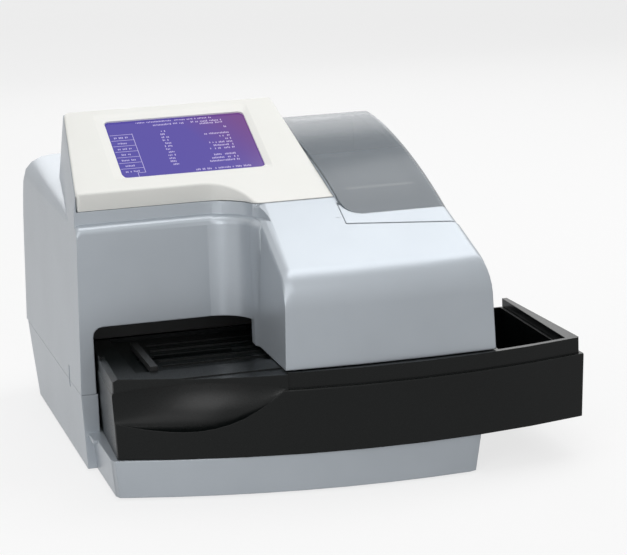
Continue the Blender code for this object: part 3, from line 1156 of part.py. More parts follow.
def rear_panel():
    y1 = BODY_B - WALL - GAP
    y0 = y1 - PANEL_T
    plate = bm_box(REAR_L - PANEL_LIP, REAR_R + PANEL_LIP, y0, y1, REAR_Z0 - PANEL_LIP, REAR_Z1 + PANEL_LIP)
    holes = [bm_box(x - w / 2 - GAP, x + w / 2 + GAP, y0 - 2.0, y1 + 2.0, PORT_Z - h / 2 - GAP,
                    PORT_Z + h / 2 + GAP)
             for x, w, h in ((INLET_X, INLET_W, INLET_H), (SWITCH_X, SWITCH_W, SWITCH_H),
                             (PORT_25_X, PORT_25_W - 14.0, PORT_H - 2.0),
                             (PORT_9_X, PORT_9_W - 14.0, PORT_H - 2.0))]
    grille = [bm_box(FAN_X - 14.0, FAN_X + 14.0, y0 - 2.0, y1 + 2.0, PORT_Z - 15.5 + 7.0 * k,
                     PORT_Z - 12.0 + 7.0 * k) for k in range(5)]
    node("rear_panel", cut(plate, *holes, join(*grille)), ZINC)
    face = y1 + GAP
    flange = bm_box(INLET_X - INLET_W / 2 - 2.0, INLET_X + INLET_W / 2 + 2.0, face, face + 2.0,
                    PORT_Z - INLET_H / 2 - 2.0, PORT_Z + INLET_H / 2 + 2.0)
    body = bm_box(INLET_X - INLET_W / 2, INLET_X + INLET_W / 2, face - 22.0, face + 1.0,
                  PORT_Z - INLET_H / 2, PORT_Z + INLET_H / 2)
    socket = bm_box(INLET_X - 11.0, INLET_X + 11.0, face - 16.0, face + 5.0, PORT_Z - 7.0, PORT_Z + 7.0)
    pins = [bm_box(INLET_X + dx - 1.0, INLET_X + dx + 1.0, face - 18.0, face - 4.0, PORT_Z + dz - 2.0,
                   PORT_Z + dz + 2.0) for dx, dz in ((-7.0, -2.0), (0.0, 2.0), (7.0, -2.0))]
    node("power_inlet", fuse(cut(fuse(flange, body), socket), *pins), BLACK)
    switch_parts(face)
    for name, x, w in (("data_port", PORT_25_X, PORT_25_W), ("serial_port", PORT_9_X, PORT_9_W)):
        flange = bm_box(x - w / 2, x + w / 2, face, face + 1.0, PORT_Z - PORT_H / 2, PORT_Z + PORT_H / 2)
        shell = fuse(flange, bm_box(x - w / 2 + 8.0, x + w / 2 - 8.0, face - 12.0, face + 2.6,
                                    PORT_Z - 4.5, PORT_Z + 4.5))
        mouth = bm_box(x - w / 2 + 9.0, x + w / 2 - 9.0, face - 3.0, face + 6.0, PORT_Z - 3.5, PORT_Z + 3.5)
        node(name, cut(shell, mouth), STEEL)
    fan_parts(y0 - GAP)


def switch_parts(face):
    half_w, half_h = SWITCH_W / 2, SWITCH_H / 2

    def block(grow_x, grow_z, y0, y1):
        return bm_box(SWITCH_X - half_w - grow_x, SWITCH_X + half_w + grow_x, y0, y1,
                      PORT_Z - half_h - grow_z, PORT_Z + half_h + grow_z)

    def upright(low, high, radius):
        return bm_rod((SWITCH_X, pivot_y, PORT_Z + low), (SWITCH_X, pivot_y, PORT_Z + high), radius, 12)
    pivot_y = face - 4.0
    flange, body = block(1.5, 1.5, face, face + 1.2), block(0.0, 0.0, face - 15.0, face + 1.0)
    well = block(-1.5, -1.2, face - 8.0, face + 4.0)
    axle = upright(0.5 - half_h, half_h - 0.5, 1.0)
    node("switch_body", fuse(cut(fuse(flange, body), well), axle), BLACK)
    reach = half_w - 1.5 - RUN
    high = half_h - 1.2 - 0.4
    outline = [(-reach + 0.6, -0.5), (0.0, -2.4), (reach - 0.6, -0.5), (reach - 0.9, 3.2), (0.0, 2.0),
               (-reach + 0.9, 3.2)]
    rocker = bm_prism([(SWITCH_X + x, pivot_y + y) for x, y in outline], "z", PORT_Z - high, PORT_Z + high)
    rocker = turned(cut(rocker, upright(-high - 3.0, high + 3.0, 1.3)), -math.radians(SWITCH_TILT) / 2, "Z",
                    (SWITCH_X, pivot_y, PORT_Z))
    node("power_switch", rocker, BLACK, origin=(SWITCH_X, pivot_y, PORT_Z))


def fan_parts(y1):
    y0 = y1 - FAN_T
    half = FAN_SIZE / 2
    frame = bm_box(FAN_X - half, FAN_X + half, y0, y1, PORT_Z - half, PORT_Z + half)
    hole = bm_rod((FAN_X, y0 + 1.5, PORT_Z), (FAN_X, y1 + 3.0, PORT_Z), half - 1.5, 24)
    windows = []
    for k in range(3):
        plan = (arc(FAN_X, PORT_Z, 9.0, 9.0, 120 * k + 10, 120 * k + 110, 10)
                + arc(FAN_X, PORT_Z, 18.0, 18.0, 120 * k + 110, 120 * k + 10, 10))
        windows.append(bm_prism(plan, "y", y0 - 3.0, y0 + 3.0))
    axle = bm_rod((FAN_X, y0 + 1.0, PORT_Z), (FAN_X, y1 - 1.5, PORT_Z), 1.2, 12)
    node("fan_frame", fuse(cut(frame, hole, join(*windows)), axle), BLACK)
    hub = bm_rod((FAN_X, y0 + 2.2, PORT_Z), (FAN_X, y1 - 1.2, PORT_Z), 8.0, 20)
    blades = []
    for k in range(7):
        t = 2 * math.pi * k / 7
        radial, across = Vector((math.cos(t), 0, math.sin(t))), Vector((-math.sin(t), 0, math.cos(t)))
        mid = Vector((FAN_X, (y0 + y1) / 2 + 0.4, PORT_Z))
        ring_in, ring_out = [], []
        for ring, r in ((ring_in, 7.0), (ring_out, half - 2.6)):
            for s, dy, off in ((-3.2, -2.4, 0.5), (3.2, 2.4, 0.5), (3.2, 2.4, -0.5), (-3.2, -2.4, -0.5)):
                ring.append(tuple(mid + radial * r + across * (s + off * 0.6) + Vector((0, dy + off, 0))))
        blades.append(bm_loft([ring_in, ring_out]))
    rotor = fuse(hub, *blades)
    bore = bm_rod((FAN_X, y0 - 2.0, PORT_Z), (FAN_X, y1 - 1.4, PORT_Z), 1.5, 12)
    node("fan_rotor", cut(rotor, bore), BLACK, origin=(FAN_X, (y0 + y1) / 2, PORT_Z))


def main():
    upper_housing()
    lower_housing()
    rubber_feet()
    base_screws()
    display_bezel()
    screen_parts()
    printer_cover()
    printer_parts()
    strip_tray()
    strip_platform()
    pusher()
    walking_beam()
    waste_box()
    reading_head()
    alcove_liner()
    electronics()
    rear_panel()


main()
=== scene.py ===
# %% [markdown]
# # A bench urine analyzer, dressed for a picture
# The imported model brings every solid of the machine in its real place, in metres. This script
# gives those solids their finishes, builds what is too fine for them, and sets up a plain studio.
# Nothing here moves a solid: the machine still opens, slides and turns as its joints say.

# %% Load the machine
import math

import bmesh
import bpy
import numpy as np
from mathutils import Matrix, Vector


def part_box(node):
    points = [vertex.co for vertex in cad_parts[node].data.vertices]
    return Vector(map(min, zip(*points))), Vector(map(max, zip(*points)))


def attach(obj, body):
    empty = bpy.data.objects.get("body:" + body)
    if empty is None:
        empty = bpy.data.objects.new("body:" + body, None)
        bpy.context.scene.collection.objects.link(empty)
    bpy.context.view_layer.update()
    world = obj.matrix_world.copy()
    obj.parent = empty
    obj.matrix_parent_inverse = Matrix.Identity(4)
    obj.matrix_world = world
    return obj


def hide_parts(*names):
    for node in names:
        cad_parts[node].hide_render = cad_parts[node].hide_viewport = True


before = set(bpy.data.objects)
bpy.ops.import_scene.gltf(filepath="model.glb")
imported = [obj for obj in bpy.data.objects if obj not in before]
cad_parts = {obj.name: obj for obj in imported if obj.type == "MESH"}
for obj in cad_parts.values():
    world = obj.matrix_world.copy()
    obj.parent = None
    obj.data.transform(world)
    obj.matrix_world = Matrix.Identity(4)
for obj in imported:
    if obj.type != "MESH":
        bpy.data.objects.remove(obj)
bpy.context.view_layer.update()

# %% [markdown]
# ## Camera
# The photographer stood in front and a little to the left, slightly above the machine, with a
# long lens. The straight edges of the housing fix where the lens was and how it was tilted, so
# the camera is given as a place, a heading, a tilt and a small roll. This comes first because
# everything else is judged from here.

# %% Put the camera where the photographer stood
CAMERA_PLACE = (-0.5045, -1.956, 0.5916)
HEADING, TILT_DOWN, ROLL = (math.radians(d) for d in (15.0861, 12.9226, 2.148))
LENS, SENSOR = 137.54, 36.0

def camera_matrix(place, heading, tilt, roll):
    """Look along the heading, tilted down; right and up are turned about that line by the roll."""
    level = math.cos(tilt)
    ahead = Vector((math.sin(heading) * level, math.cos(heading) * level, -math.sin(tilt)))
    right = Vector((math.cos(heading), -math.sin(heading), 0.0))
    up = right.cross(ahead)
    turn = Matrix.Rotation(roll, 3, ahead)
    matrix = Matrix((turn @ right, turn @ up, -ahead)).transposed().to_4x4()
    matrix.translation = place
    return matrix

scene = bpy.context.scene
camera = bpy.data.objects.new("camera", bpy.data.cameras.new("camera"))
camera.data.lens, camera.data.sensor_width = LENS, SENSOR
camera.data.clip_start, camera.data.clip_end = 0.05, 50.0
camera.matrix_world = camera_matrix(CAMERA_PLACE, HEADING, TILT_DOWN, ROLL)
scene.collection.objects.link(camera)
scene.camera = camera
print("camera at", CAMERA_PLACE)

# %% [markdown]
# ## Light, floor and background
# Product pictures like this one use a tent of white light with one large soft lamp overhead.
# The lamp hangs to the right and is longer than it is wide, so its reflection lands on the
# sloping hood and turns it almost white, while the upright walls stay a mid grey. A small lamp
# near the front left lightens the hollow beside the hood, as in the photograph. The background
# is white only for rays that look at it, from the camera, a gloss or through a glass; what it
# lends to dull surfaces is set apart, and low.

# %% Colours are written in hex, as a paint chip gives them
def linear(code):
    """sRGB hex to the linear numbers that shaders work in."""
    values = np.array([int(code[i:i + 2], 16) / 255.0 for i in (0, 2, 4)])
    curve = np.where(values <= 0.04045, values / 12.92, ((values + 0.055) / 1.055) ** 2.4)
    return (*[float(v) for v in curve], 1.0)

def add_node(tree, kind, settings=None, inputs=None):
    """Add one node: settings are its properties, inputs are values or other nodes' outputs."""
    node = tree.nodes.new(kind)
    for key, value in (settings or {}).items():
        setattr(node, key, value)
    for key, value in (inputs or {}).items():
        if isinstance(value, bpy.types.NodeSocket):
            tree.links.new(value, node.inputs[key])
        else:
            node.inputs[key].default_value = value
    return node

# %% World: plain light for surfaces, white for what looks at it
AMBIENT = 0.30
world = bpy.data.worlds.new("studio")
scene.world = world
world.use_nodes = True
sky = world.node_tree
sky.nodes.clear()

def looking(tree):
    """1 for a ray that looks: from the camera, from a gloss or through a glass; else 0."""
    seen = add_node(tree, "ShaderNodeLightPath")
    straight = add_node(tree, "ShaderNodeMath", {"operation": "MAXIMUM"},
                        {0: seen.outputs["Is Camera Ray"], 1: seen.outputs["Is Transmission Ray"]})
    return add_node(tree, "ShaderNodeMath", {"operation": "MAXIMUM"},
                    {0: straight.outputs[0], 1: seen.outputs["Is Glossy Ray"]}).outputs[0]

dull = add_node(sky, "ShaderNodeBackground", None, {"Color": linear("FFFFFF"), "Strength": AMBIENT})
bright = add_node(sky, "ShaderNodeBackground", None, {"Color": linear("FFFFFF"), "Strength": 1.0})
mixed = add_node(sky, "ShaderNodeMixShader", None,
                 {"Fac": looking(sky), 1: dull.outputs[0], 2: bright.outputs[0]})
add_node(sky, "ShaderNodeOutputWorld", None, {"Surface": mixed.outputs[0]})

# %% Lamps
def soft_lamp(name, place, target, width, height, watts):
    """A rectangular soft lamp at a place, facing a target."""
    data = bpy.data.lights.new(name, "AREA")
    data.shape, data.size, data.size_y, data.energy = "RECTANGLE", width, height, watts
    lamp = bpy.data.objects.new(name, data)
    lamp.location = place
    lamp.rotation_euler = (Vector(target) - Vector(place)).to_track_quat("-Z", "Y").to_euler()
    scene.collection.objects.link(lamp)
    return lamp

MIDDLE = (0.0, 0.0, 0.15)
soft_lamp("lamp_overhead", (0.45, 0.25, 1.75), MIDDLE, 1.0, 2.6, 20.0)
soft_lamp("lamp_front", (-0.6, -1.7, 1.6), MIDDLE, 1.4, 1.0, 6.0)
soft_lamp("lamp_left", (-2.2, -0.7, 0.7), MIDDLE, 1.2, 1.2, 2.0)
soft_lamp("lamp_fill", (-0.75, -1.2, 0.4), (-0.1, -0.1, 0.15), 0.5, 0.5, 3.5).visible_camera = False
soft_lamp("lamp_back", (0.3, 2.0, 1.1), MIDDLE, 1.6, 1.0, 8.0)

# %% A floor that curves up into a backdrop
def grid_quads(rows, cols, wrap_u=False, wrap_v=False):
    """Quads through a grid of points, rows along u, columns along v; wrap joins the far sides."""
    u = np.arange(rows if wrap_u else rows - 1)
    v = np.arange(cols if wrap_v else cols - 1)
    uu, vv = np.meshgrid(u, v, indexing="ij")
    nu, nv = (uu + 1) % rows, (vv + 1) % cols
    corners = [uu * cols + vv, nu * cols + vv, nu * cols + nv, uu * cols + nv]
    return np.stack(corners, -1).reshape(-1, 4)

def surface(name, points, wrap_u=False, wrap_v=False):
    """Mesh object through one grid of points."""
    return mesh_object(name, points.reshape(-1, 3), grid_quads(*points.shape[:2], wrap_u, wrap_v))

def mesh_object(name, points, faces):
    """Put arrays of points and of equal faces into a smooth mesh object."""
    mesh = bpy.data.meshes.new(name)
    faces = np.asarray(faces, np.int32)
    mesh.vertices.add(len(points))
    mesh.vertices.foreach_set("co", np.asarray(points, np.float32).ravel())
    mesh.loops.add(faces.size)
    mesh.loops.foreach_set("vertex_index", faces.ravel())
    mesh.polygons.add(len(faces))
    starts = np.arange(0, faces.size, faces.shape[1], dtype=np.int32)
    mesh.polygons.foreach_set("loop_start", starts)
    mesh.polygons.foreach_set("use_smooth", np.ones(len(faces), bool))
    mesh.update(calc_edges=True)
    piece = bpy.data.objects.new(name, mesh)
    scene.collection.objects.link(piece)
    return piece

def sweep_of_floor(width=6.0, front=-3.0, bend=2.2, radius=0.8, top=3.0, steps=16):
    """Straight floor, a quarter circle of the given radius, then a straight wall."""
    t = np.linspace(0.0, math.pi / 2, steps)
    y = np.concatenate([[front], bend + radius * np.sin(t), [bend + radius]])
    z = np.concatenate([[0.0], radius * (1.0 - np.cos(t)), [top]])
    x = np.array([-width / 2, width / 2])
    return np.stack(np.broadcast_arrays(x[:, None], y[None, :], z[None, :]), -1)

floor = surface("floor", sweep_of_floor())
FLOOR_GLOW = 0.75        # share of plain white in what a looking ray sees of the paper
paper = bpy.data.materials.new("matt white background paper")
paper.use_nodes = True
tree = paper.node_tree
shader = tree.nodes["Principled BSDF"]
tone = add_node(tree, "ShaderNodeMix", {"data_type": "RGBA"},
                {"Factor": looking(tree), "A": linear("A8A8A8"), "B": linear("F6F6F6")})
tree.links.new(tone.outputs["Result"], shader.inputs["Base Color"])
shader.inputs["Roughness"].default_value = 0.9
shader.inputs["Specular IOR Level"].default_value = 0.1
glow = add_node(tree, "ShaderNodeEmission", None, {"Color": linear("FFFFFF"), "Strength": 1.0})
part_glow = add_node(tree, "ShaderNodeMath", {"operation": "MULTIPLY"},
                     {0: looking(tree), 1: FLOOR_GLOW})
both = add_node(tree, "ShaderNodeMixShader", None,
                {"Fac": part_glow.outputs[0], 1: shader.outputs[0], 2: glow.outputs[0]})
tree.links.new(both.outputs[0], tree.nodes["Material Output"].inputs["Surface"])
floor.data.materials.append(paper)
scene.view_settings.view_transform = "Standard"

# %% [markdown]
# ## Plastics
# Nearly all of the outside is injection-moulded ABS. The housing is sprayed with a silver-grey
# paint that holds metal flakes, so it is a little metallic and mirrors the big lamp softly. The
# frame of the display is bare white ABS, and the tray is bare black ABS with a fine
# spark-eroded grain that keeps fingerprints from showing. One function serves them all, because
# they differ only in colour, in grain and in gloss. No moulding has a knife edge, and the thin
# light line along a real edge is half of what makes it look solid, so a Bevel node turns the
# normals within an edge radius of each edge, on every piece and without touching its mesh.

# %% One recipe for moulded and sprayed plastic
METRES = 0.001
DRIFT = 1000.0 / 14.0    # width in mm of the slow change between the two colours

def plastic(name, colour, shade, grain, depth, rough, spread=0.04, specular=0.5, edge=0.5,
            metallic=0.0):
    """Two close colours drift over the surface.

    Grain and depth, in mm, are the width and the height of the bumps; the gloss varies by spread
    from bump to bump. Edge, in mm, is the radius that the shading gives to each edge.
    """
    material = bpy.data.materials.new(name)
    material.use_nodes = True
    tree = material.node_tree
    shader = tree.nodes["Principled BSDF"]
    place = add_node(tree, "ShaderNodeTexCoord").outputs["Object"]
    drift = add_node(tree, "ShaderNodeTexNoise", None,
                     {"Vector": place, "Scale": 1.0 / (DRIFT * METRES), "Detail": 3.0})
    speck = add_node(tree, "ShaderNodeTexNoise", None,
                     {"Vector": place, "Scale": 1.0 / (grain * METRES), "Detail": 2.0,
                      "Roughness": 0.6})
    blend = add_node(tree, "ShaderNodeMapRange", None,
                     {"Value": drift.outputs["Fac"], "From Min": 0.35, "From Max": 0.65})
    tone = add_node(tree, "ShaderNodeMix", {"data_type": "RGBA"},
                    {"Factor": blend.outputs["Result"], "A": linear(colour), "B": linear(shade)})
    gloss = add_node(tree, "ShaderNodeMapRange", None,
                     {"Value": speck.outputs["Fac"], "From Min": 0.3, "From Max": 0.7,
                      "To Min": rough - spread, "To Max": rough + spread})
    tree.links.new(tone.outputs["Result"], shader.inputs["Base Color"])
    tree.links.new(gloss.outputs["Result"], shader.inputs["Roughness"])
    rounded = add_node(tree, "ShaderNodeBevel", {"samples": 4}, {"Radius": edge * METRES})
    if depth:
        rounded = add_node(tree, "ShaderNodeBump", None,
                           {"Height": speck.outputs["Fac"], "Strength": 1.0,
                            "Distance": depth * METRES, "Normal": rounded.outputs["Normal"]})
    tree.links.new(rounded.outputs["Normal"], shader.inputs["Normal"])
    shader.inputs["Metallic"].default_value = metallic
    shader.inputs["Specular IOR Level"].default_value = specular
    material.diffuse_color = linear(colour)
    return material

silver_paint = plastic("ABS sprayed metallic silver-grey", "B4BBC2", "B0B7BE", 1.2, 0.004, 0.34,
                       edge=1.2, metallic=0.35)
white_abs = plastic("ABS moulded white satin", "F2F2EE", "F0F0EB", 0.8, 0.004, 0.36, edge=0.6)
black_abs = plastic("ABS moulded black fine grain", "080B0B", "0A0D0D", 0.7, 0.008, 0.30, 0.05,
                    specular=0.2, edge=0.7)
grey_abs = plastic("ABS moulded dark grey", "55595C", "505457", 0.8, 0.01, 0.45, 0.05)
black_nylon = plastic("nylon moulded black", "101112", "131414", 0.6, 0.01, 0.42, 0.06)
rubber = plastic("rubber moulded black", "1B1B1B", "202020", 0.9, 0.02, 0.78, 0.08, 0.3)
print("plastics ready")

# %% [markdown]
# ## Metals, boards and clear plastics
# Inside and at the back there is zinc-plated sheet, bright steel shafts, a green circuit board and
# a few clear parts. Zinc plate is slightly cloudy; ground shafts carry fine marks round their
# length; the cover is smoked polycarbonate, so you see the paper roll through it only dimly.

# %% Metals
def metal(name, colour, shade, cloud, rough, spread):
    """Bare metal whose tone and gloss drift in clouds of the given size in mm."""
    material = bpy.data.materials.new(name)
    material.use_nodes = True
    tree = material.node_tree
    shader = tree.nodes["Principled BSDF"]
    place = add_node(tree, "ShaderNodeTexCoord").outputs["Object"]
    clouds = add_node(tree, "ShaderNodeTexNoise", None,
                      {"Vector": place, "Scale": 1.0 / (cloud * METRES), "Detail": 5.0,
                       "Roughness": 0.65})
    blend = add_node(tree, "ShaderNodeMapRange", None,
                     {"Value": clouds.outputs["Fac"], "From Min": 0.3, "From Max": 0.7})
    tone = add_node(tree, "ShaderNodeMix", {"data_type": "RGBA"},
                    {"Factor": blend.outputs["Result"], "A": linear(colour), "B": linear(shade)})
    gloss = add_node(tree, "ShaderNodeMapRange", None,
                     {"Value": clouds.outputs["Fac"], "From Min": 0.3, "From Max": 0.7,
                      "To Min": rough - spread, "To Max": rough + spread})
    tree.links.new(tone.outputs["Result"], shader.inputs["Base Color"])
    tree.links.new(gloss.outputs["Result"], shader.inputs["Roughness"])
    shader.inputs["Metallic"].default_value = 1.0
    material.diffuse_color = linear(colour)
    return material

zinc_sheet = metal("steel sheet zinc plated", "B9BBBD", "A9ACB0", 9.0, 0.38, 0.08)
ground_steel = metal("steel ground bright", "C9CBCD", "BFC2C5", 3.0, 0.24, 0.05)

# %% Clear and special materials
def clear(name, colour, alpha, rough, specular=0.5):
    """Seen-through plastic or glass: a share of the light, 1 - alpha, passes straight on."""
    material = bpy.data.materials.new(name)
    material.use_nodes = True
    shader = material.node_tree.nodes["Principled BSDF"]
    shader.inputs["Base Color"].default_value = linear(colour)
    shader.inputs["Roughness"].default_value = rough
    shader.inputs["Specular IOR Level"].default_value = specular
    shader.inputs["Alpha"].default_value = alpha
    material.diffuse_color = linear(colour)
    return material

smoked = clear("polycarbonate smoked", "7A838B", 0.66, 0.22)
screen_glass = clear("glass coated clear", "181424", 0.12, 0.05, 0.2)
lens_glass = clear("glass polished", "B4C2CC", 0.35, 0.05)
thermal_paper = plastic("thermal paper", "F4F4F0", "EFEFEA", 0.5, 0.004, 0.6, 0.05, 0.3)
ceramic = plastic("ceramic ground white", "F3F3EE", "EDEDE8", 0.3, 0.002, 0.3, 0.03)
board_green = plastic("solder mask green", "1F6B43", "1A6340", 2.0, 0.01, 0.32, 0.05)

# %% [markdown]
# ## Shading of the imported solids
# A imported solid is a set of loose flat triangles. Three modifiers give it clean shading and leave
# its shape alone: the loose corners are merged, the surface is split along its crisp edges, and the
# normals are weighted by area, so that a large flat wall stays flat next to a small round.

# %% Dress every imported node
FINISH = {
    "upper_housing": silver_paint, "lower_housing": silver_paint, "display_bezel": white_abs,
    "cover_grip": silver_paint, "printer_cover": smoked, "touch_panel": screen_glass,
    "lcd_module": black_nylon, "lcd_bracket": zinc_sheet, "strip_tray": black_abs,
    "strip_platform": black_abs, "push_bar": black_nylon, "waste_box": black_abs,
    "walking_beam": black_nylon, "alcove_liner": black_nylon, "printer_tub": grey_abs,
    "printer_mechanism": grey_abs, "paper_roll": thermal_paper, "roll_spindle": grey_abs,
    "platen_roller": rubber, "tear_bar": ground_steel, "cover_hinge_pin": ground_steel,
    "reading_head": grey_abs, "head_lens": lens_glass, "calibration_plate": ceramic,
    "head_chassis": zinc_sheet, "head_rod_left": ground_steel, "head_rod_right": ground_steel,
    "head_motor": zinc_sheet, "head_pulley": ground_steel, "head_idler": ground_steel,
    "head_belt": rubber, "pusher_rod": ground_steel, "pusher_belt": rubber,
    "pusher_pulley": ground_steel, "pusher_idler": ground_steel, "pusher_motor": zinc_sheet,
    "idler_bracket": zinc_sheet, "beam_carrier": zinc_sheet, "beam_lifter": zinc_sheet,
    "main_board": board_green, "processor": grey_abs, "backup_battery": ground_steel,
    "power_supply": zinc_sheet, "rear_panel": zinc_sheet, "power_inlet": black_nylon,
    "switch_body": black_nylon, "power_switch": black_nylon, "data_port": zinc_sheet,
    "serial_port": zinc_sheet, "fan_frame": black_nylon, "fan_rotor": black_nylon,
}
FINISH.update({name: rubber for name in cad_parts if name.startswith("foot_")})
FINISH.update({name: zinc_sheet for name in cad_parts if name.startswith("base_screw_")})

MERGE = 0.00001          # loose corners closer than this, in metres, are one point
CRISP = math.radians(28.0)

def shade(piece):
    """Smooth shading up to CRISP, split edges beyond it, normals weighted by area."""
    piece.data.polygons.foreach_set("use_smooth", np.ones(len(piece.data.polygons), bool))
    piece.modifiers.new("merge", "WELD").merge_threshold = MERGE
    split = piece.modifiers.new("crisp edges", "EDGE_SPLIT")
    split.split_angle, split.use_edge_sharp = CRISP, False
    weigh = piece.modifiers.new("area normals", "WEIGHTED_NORMAL")
    weigh.mode, weigh.weight, weigh.keep_sharp = "FACE_AREA", 50, True

for name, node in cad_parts.items():
    node.data.materials.clear()
    node.data.materials.append(FINISH[name])
    shade(node)
print(len(FINISH), "nodes dressed")

# %% [markdown]
# ## The display frame
# The frame is one thin white moulding: a plate on the sloping roof, with an S-shaped front edge
# that turns down into a skirt, and a window whose sides fall gently to the screen. Cutting it from
# blocks leaves hard edges, so it is worked out as one closed ring instead. Round the ring runs the
# outline; across it runs a section: window edge, slope, top face, rounded rim, skirt, underside.

# %% Outlines with round corners
ARC = 13                 # points on the arc of one corner

def round_corners(corners, radii):
    """Closed outline: at each corner a circle of its radius that touches both sides, as an arc."""
    p = np.asarray(corners, float)
    r = np.asarray(radii, float)[:, None]
    back, on = np.roll(p, 1, 0) - p, np.roll(p, -1, 0) - p
    back /= np.linalg.norm(back, axis=1, keepdims=True)
    on /= np.linalg.norm(on, axis=1, keepdims=True)
    half = np.arccos(np.clip((back * on).sum(1, keepdims=True), -1, 1)) / 2
    middle = back + on
    middle /= np.linalg.norm(middle, axis=1, keepdims=True)
    centre = p + middle * r / np.sin(half)
    a, b = p + back * r / np.tan(half) - centre, p + on * r / np.tan(half) - centre
    turn = math.pi - 2 * half
    t = np.linspace(0, 1, ARC)[None, :]
    wa, wb = np.sin((1 - t) * turn) / np.sin(turn), np.sin(t * turn) / np.sin(turn)
    arcs = centre[:, None] + wa[..., None] * a[:, None] + wb[..., None] * b[:, None]
    return arcs.reshape(-1, 2)

def resample(loop, corners, count):
    """Even steps along a closed outline, from the middle of each named corner's arc to the next."""
    marks = [ARC * k + ARC // 2 for k in corners]
    closed = np.vstack([loop, loop[:1]])
    length = np.concatenate([[0.0], np.cumsum(np.linalg.norm(np.diff(closed, axis=0), axis=1))])
    at = np.interp(marks, np.arange(len(closed)), length)
    stations = np.interp(np.arange(count) / count * (len(marks) - 1), np.arange(len(marks)), at)
    return np.stack([np.interp(stations, length, closed[:, k]) for k in range(2)], -1)

# %% Facts of the display roof, in millimetres
ROOF_TILT, ROOF_Y, ROOF_Z = 0.4644, -49.1, 239.4
SLOPE = math.atan(ROOF_TILT)
FLARE = 0.1114                      # the frame widens to the front on both sides
RIDGE_Y, NECK_Y, FRONT_Y = 41.6, -68.0, -97.8
LEFT_BACK, RIGHT_BACK = -180.1, 0.65
PLATE, SKIRT_FOOT, SKIRT_WALL = 3.5, 216.1, 3.0
SCREEN_X, SCREEN_W, SCREEN_H = -147.9, 119.0, 82.0

def roof_z(y):
    """Height of the display plane: it rises by ROOF_TILT for each step back."""
    return ROOF_Z + ROOF_TILT * (y - ROOF_Y)

def on_roof(x, along, lift):
    """A point by its x, its way up the slope from the screen's foot, and its lift off the plane."""
    y = ROOF_Y + along * math.cos(SLOPE) - lift * math.sin(SLOPE)
    z = ROOF_Z + along * math.sin(SLOPE) + lift * math.cos(SLOPE)
    return np.stack(np.broadcast_arrays(x, y, z), -1)

# %% The frame's three outlines: rim, edge of the slope, window
def rim_outline():
    """From above: straight left part, round nook, front, and two sides that close to the back."""
    side = FLARE * (RIDGE_Y - NECK_Y)
    corners = [(LEFT_BACK - side, NECK_Y), (-62.37, NECK_Y), (-50.33, FRONT_Y),
               (RIGHT_BACK + FLARE * (RIDGE_Y - FRONT_Y), FRONT_Y), (RIGHT_BACK, RIDGE_Y),
               (LEFT_BACK, RIDGE_Y)]
    return round_corners(corners, [3.0, 38.0, 8.0, 1.2, 2.5, 6.0])

def window_outline(left, right, low, high, radius):
    """Rounded rectangle on the display plane, grown from the screen by the four given margins."""
    x0, x1 = SCREEN_X - left, SCREEN_X + SCREEN_W + right
    corners = [(x0, -low), (x1, -low), (x1, SCREEN_H + high), (x0, SCREEN_H + high)]
    return round_corners(corners, [radius] * 4)

COUNT = 520              # points round the ring; four corners of each outline are matched
rim = resample(rim_outline(), (0, 3, 4, 5, 6), COUNT)
slope_edge = resample(window_outline(left=9.0, right=6.0, low=4.0, high=10.0, radius=2.0),
                      (0, 1, 2, 3, 4), COUNT)
window = resample(window_outline(left=1.0, right=1.0, low=1.0, high=1.0, radius=4.5),
                  (0, 1, 2, 3, 4), COUNT)

# %% The frame as one closed ring
def frame_ring(top_round=1.6, foot_round=0.4, dip=1.7):
    """Section at every rim point: window wall, slope, top face, quarter round, skirt, underside."""
    ahead = np.roll(rim, -1, 0) - np.roll(rim, 1, 0)
    out = np.stack([ahead[:, 1], -ahead[:, 0]], -1)
    out /= np.linalg.norm(out, axis=1, keepdims=True)

    def under(y):
        return np.maximum(SKIRT_FOOT, roof_z(y) - PLATE)

    at_front = np.clip((NECK_Y + 6.0 - rim[:, 1]) / 3.0, 0.0, 1.0)
    foot = under(rim[:, 1]) + (SKIRT_FOOT - under(rim[:, 1])) * at_front
    rows = [on_roof(window[:, 0], window[:, 1], lift)
            for lift in (-PLATE * math.cos(SLOPE), -dip - 0.3, -dip)]
    for share, sink in ((0.04, 0.95), (0.5, 0.5), (0.93, 0.07), (1.0, 0.0)):
        flat = window + (slope_edge - window) * share
        rows.append(on_roof(flat[:, 0], flat[:, 1], -dip * sink))
    edge = on_roof(slope_edge[:, 0], slope_edge[:, 1], 0.0)[:, :2]
    inner = rim - out * top_round
    for share in (0.03, 0.35, 0.7):
        flat = edge + (inner - edge) * share
        rows.append(np.column_stack([flat, roof_z(flat[:, 1])]))
    thick = np.minimum(roof_z(rim[:, 1]) - foot, top_round + foot_round)
    top_r = thick * top_round / (top_round + foot_round)
    for angle in np.radians([0, 18, 36, 54, 72, 90]):
        flat = rim - out * (top_r * (1 - math.sin(angle)))[:, None]
        rows.append(np.column_stack([flat, roof_z(flat[:, 1]) - top_r * (1 - math.cos(angle))]))
    foot_r = np.minimum(thick - top_r, foot_round)
    for angle in np.radians([0, 45, 90]):
        flat = rim - out * (foot_r * (1 - math.cos(angle)))[:, None]
        rows.append(np.column_stack([flat, foot + foot_r * (1 - math.sin(angle))]))
    flat = rim - out * SKIRT_WALL
    rows.append(np.column_stack([flat, np.minimum(foot, under(flat[:, 1]))]))
    rows.append(np.column_stack([flat - out * 0.3, under(flat[:, 1])]))
    inside = rows[0][:, :2] + (flat - rows[0][:, :2]) * 0.5
    rows.append(np.column_stack([inside, under(inside[:, 1])]))
    return np.stack(rows, 1) * METRES

def finish_piece(piece, material, node=None):
    """Material and crisp edges; the piece rides on the housing and may take a node's place."""
    piece.data.materials.append(material)
    turn_outwards(piece)
    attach(piece, "housing")
    if node:
        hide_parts(node)
    return piece

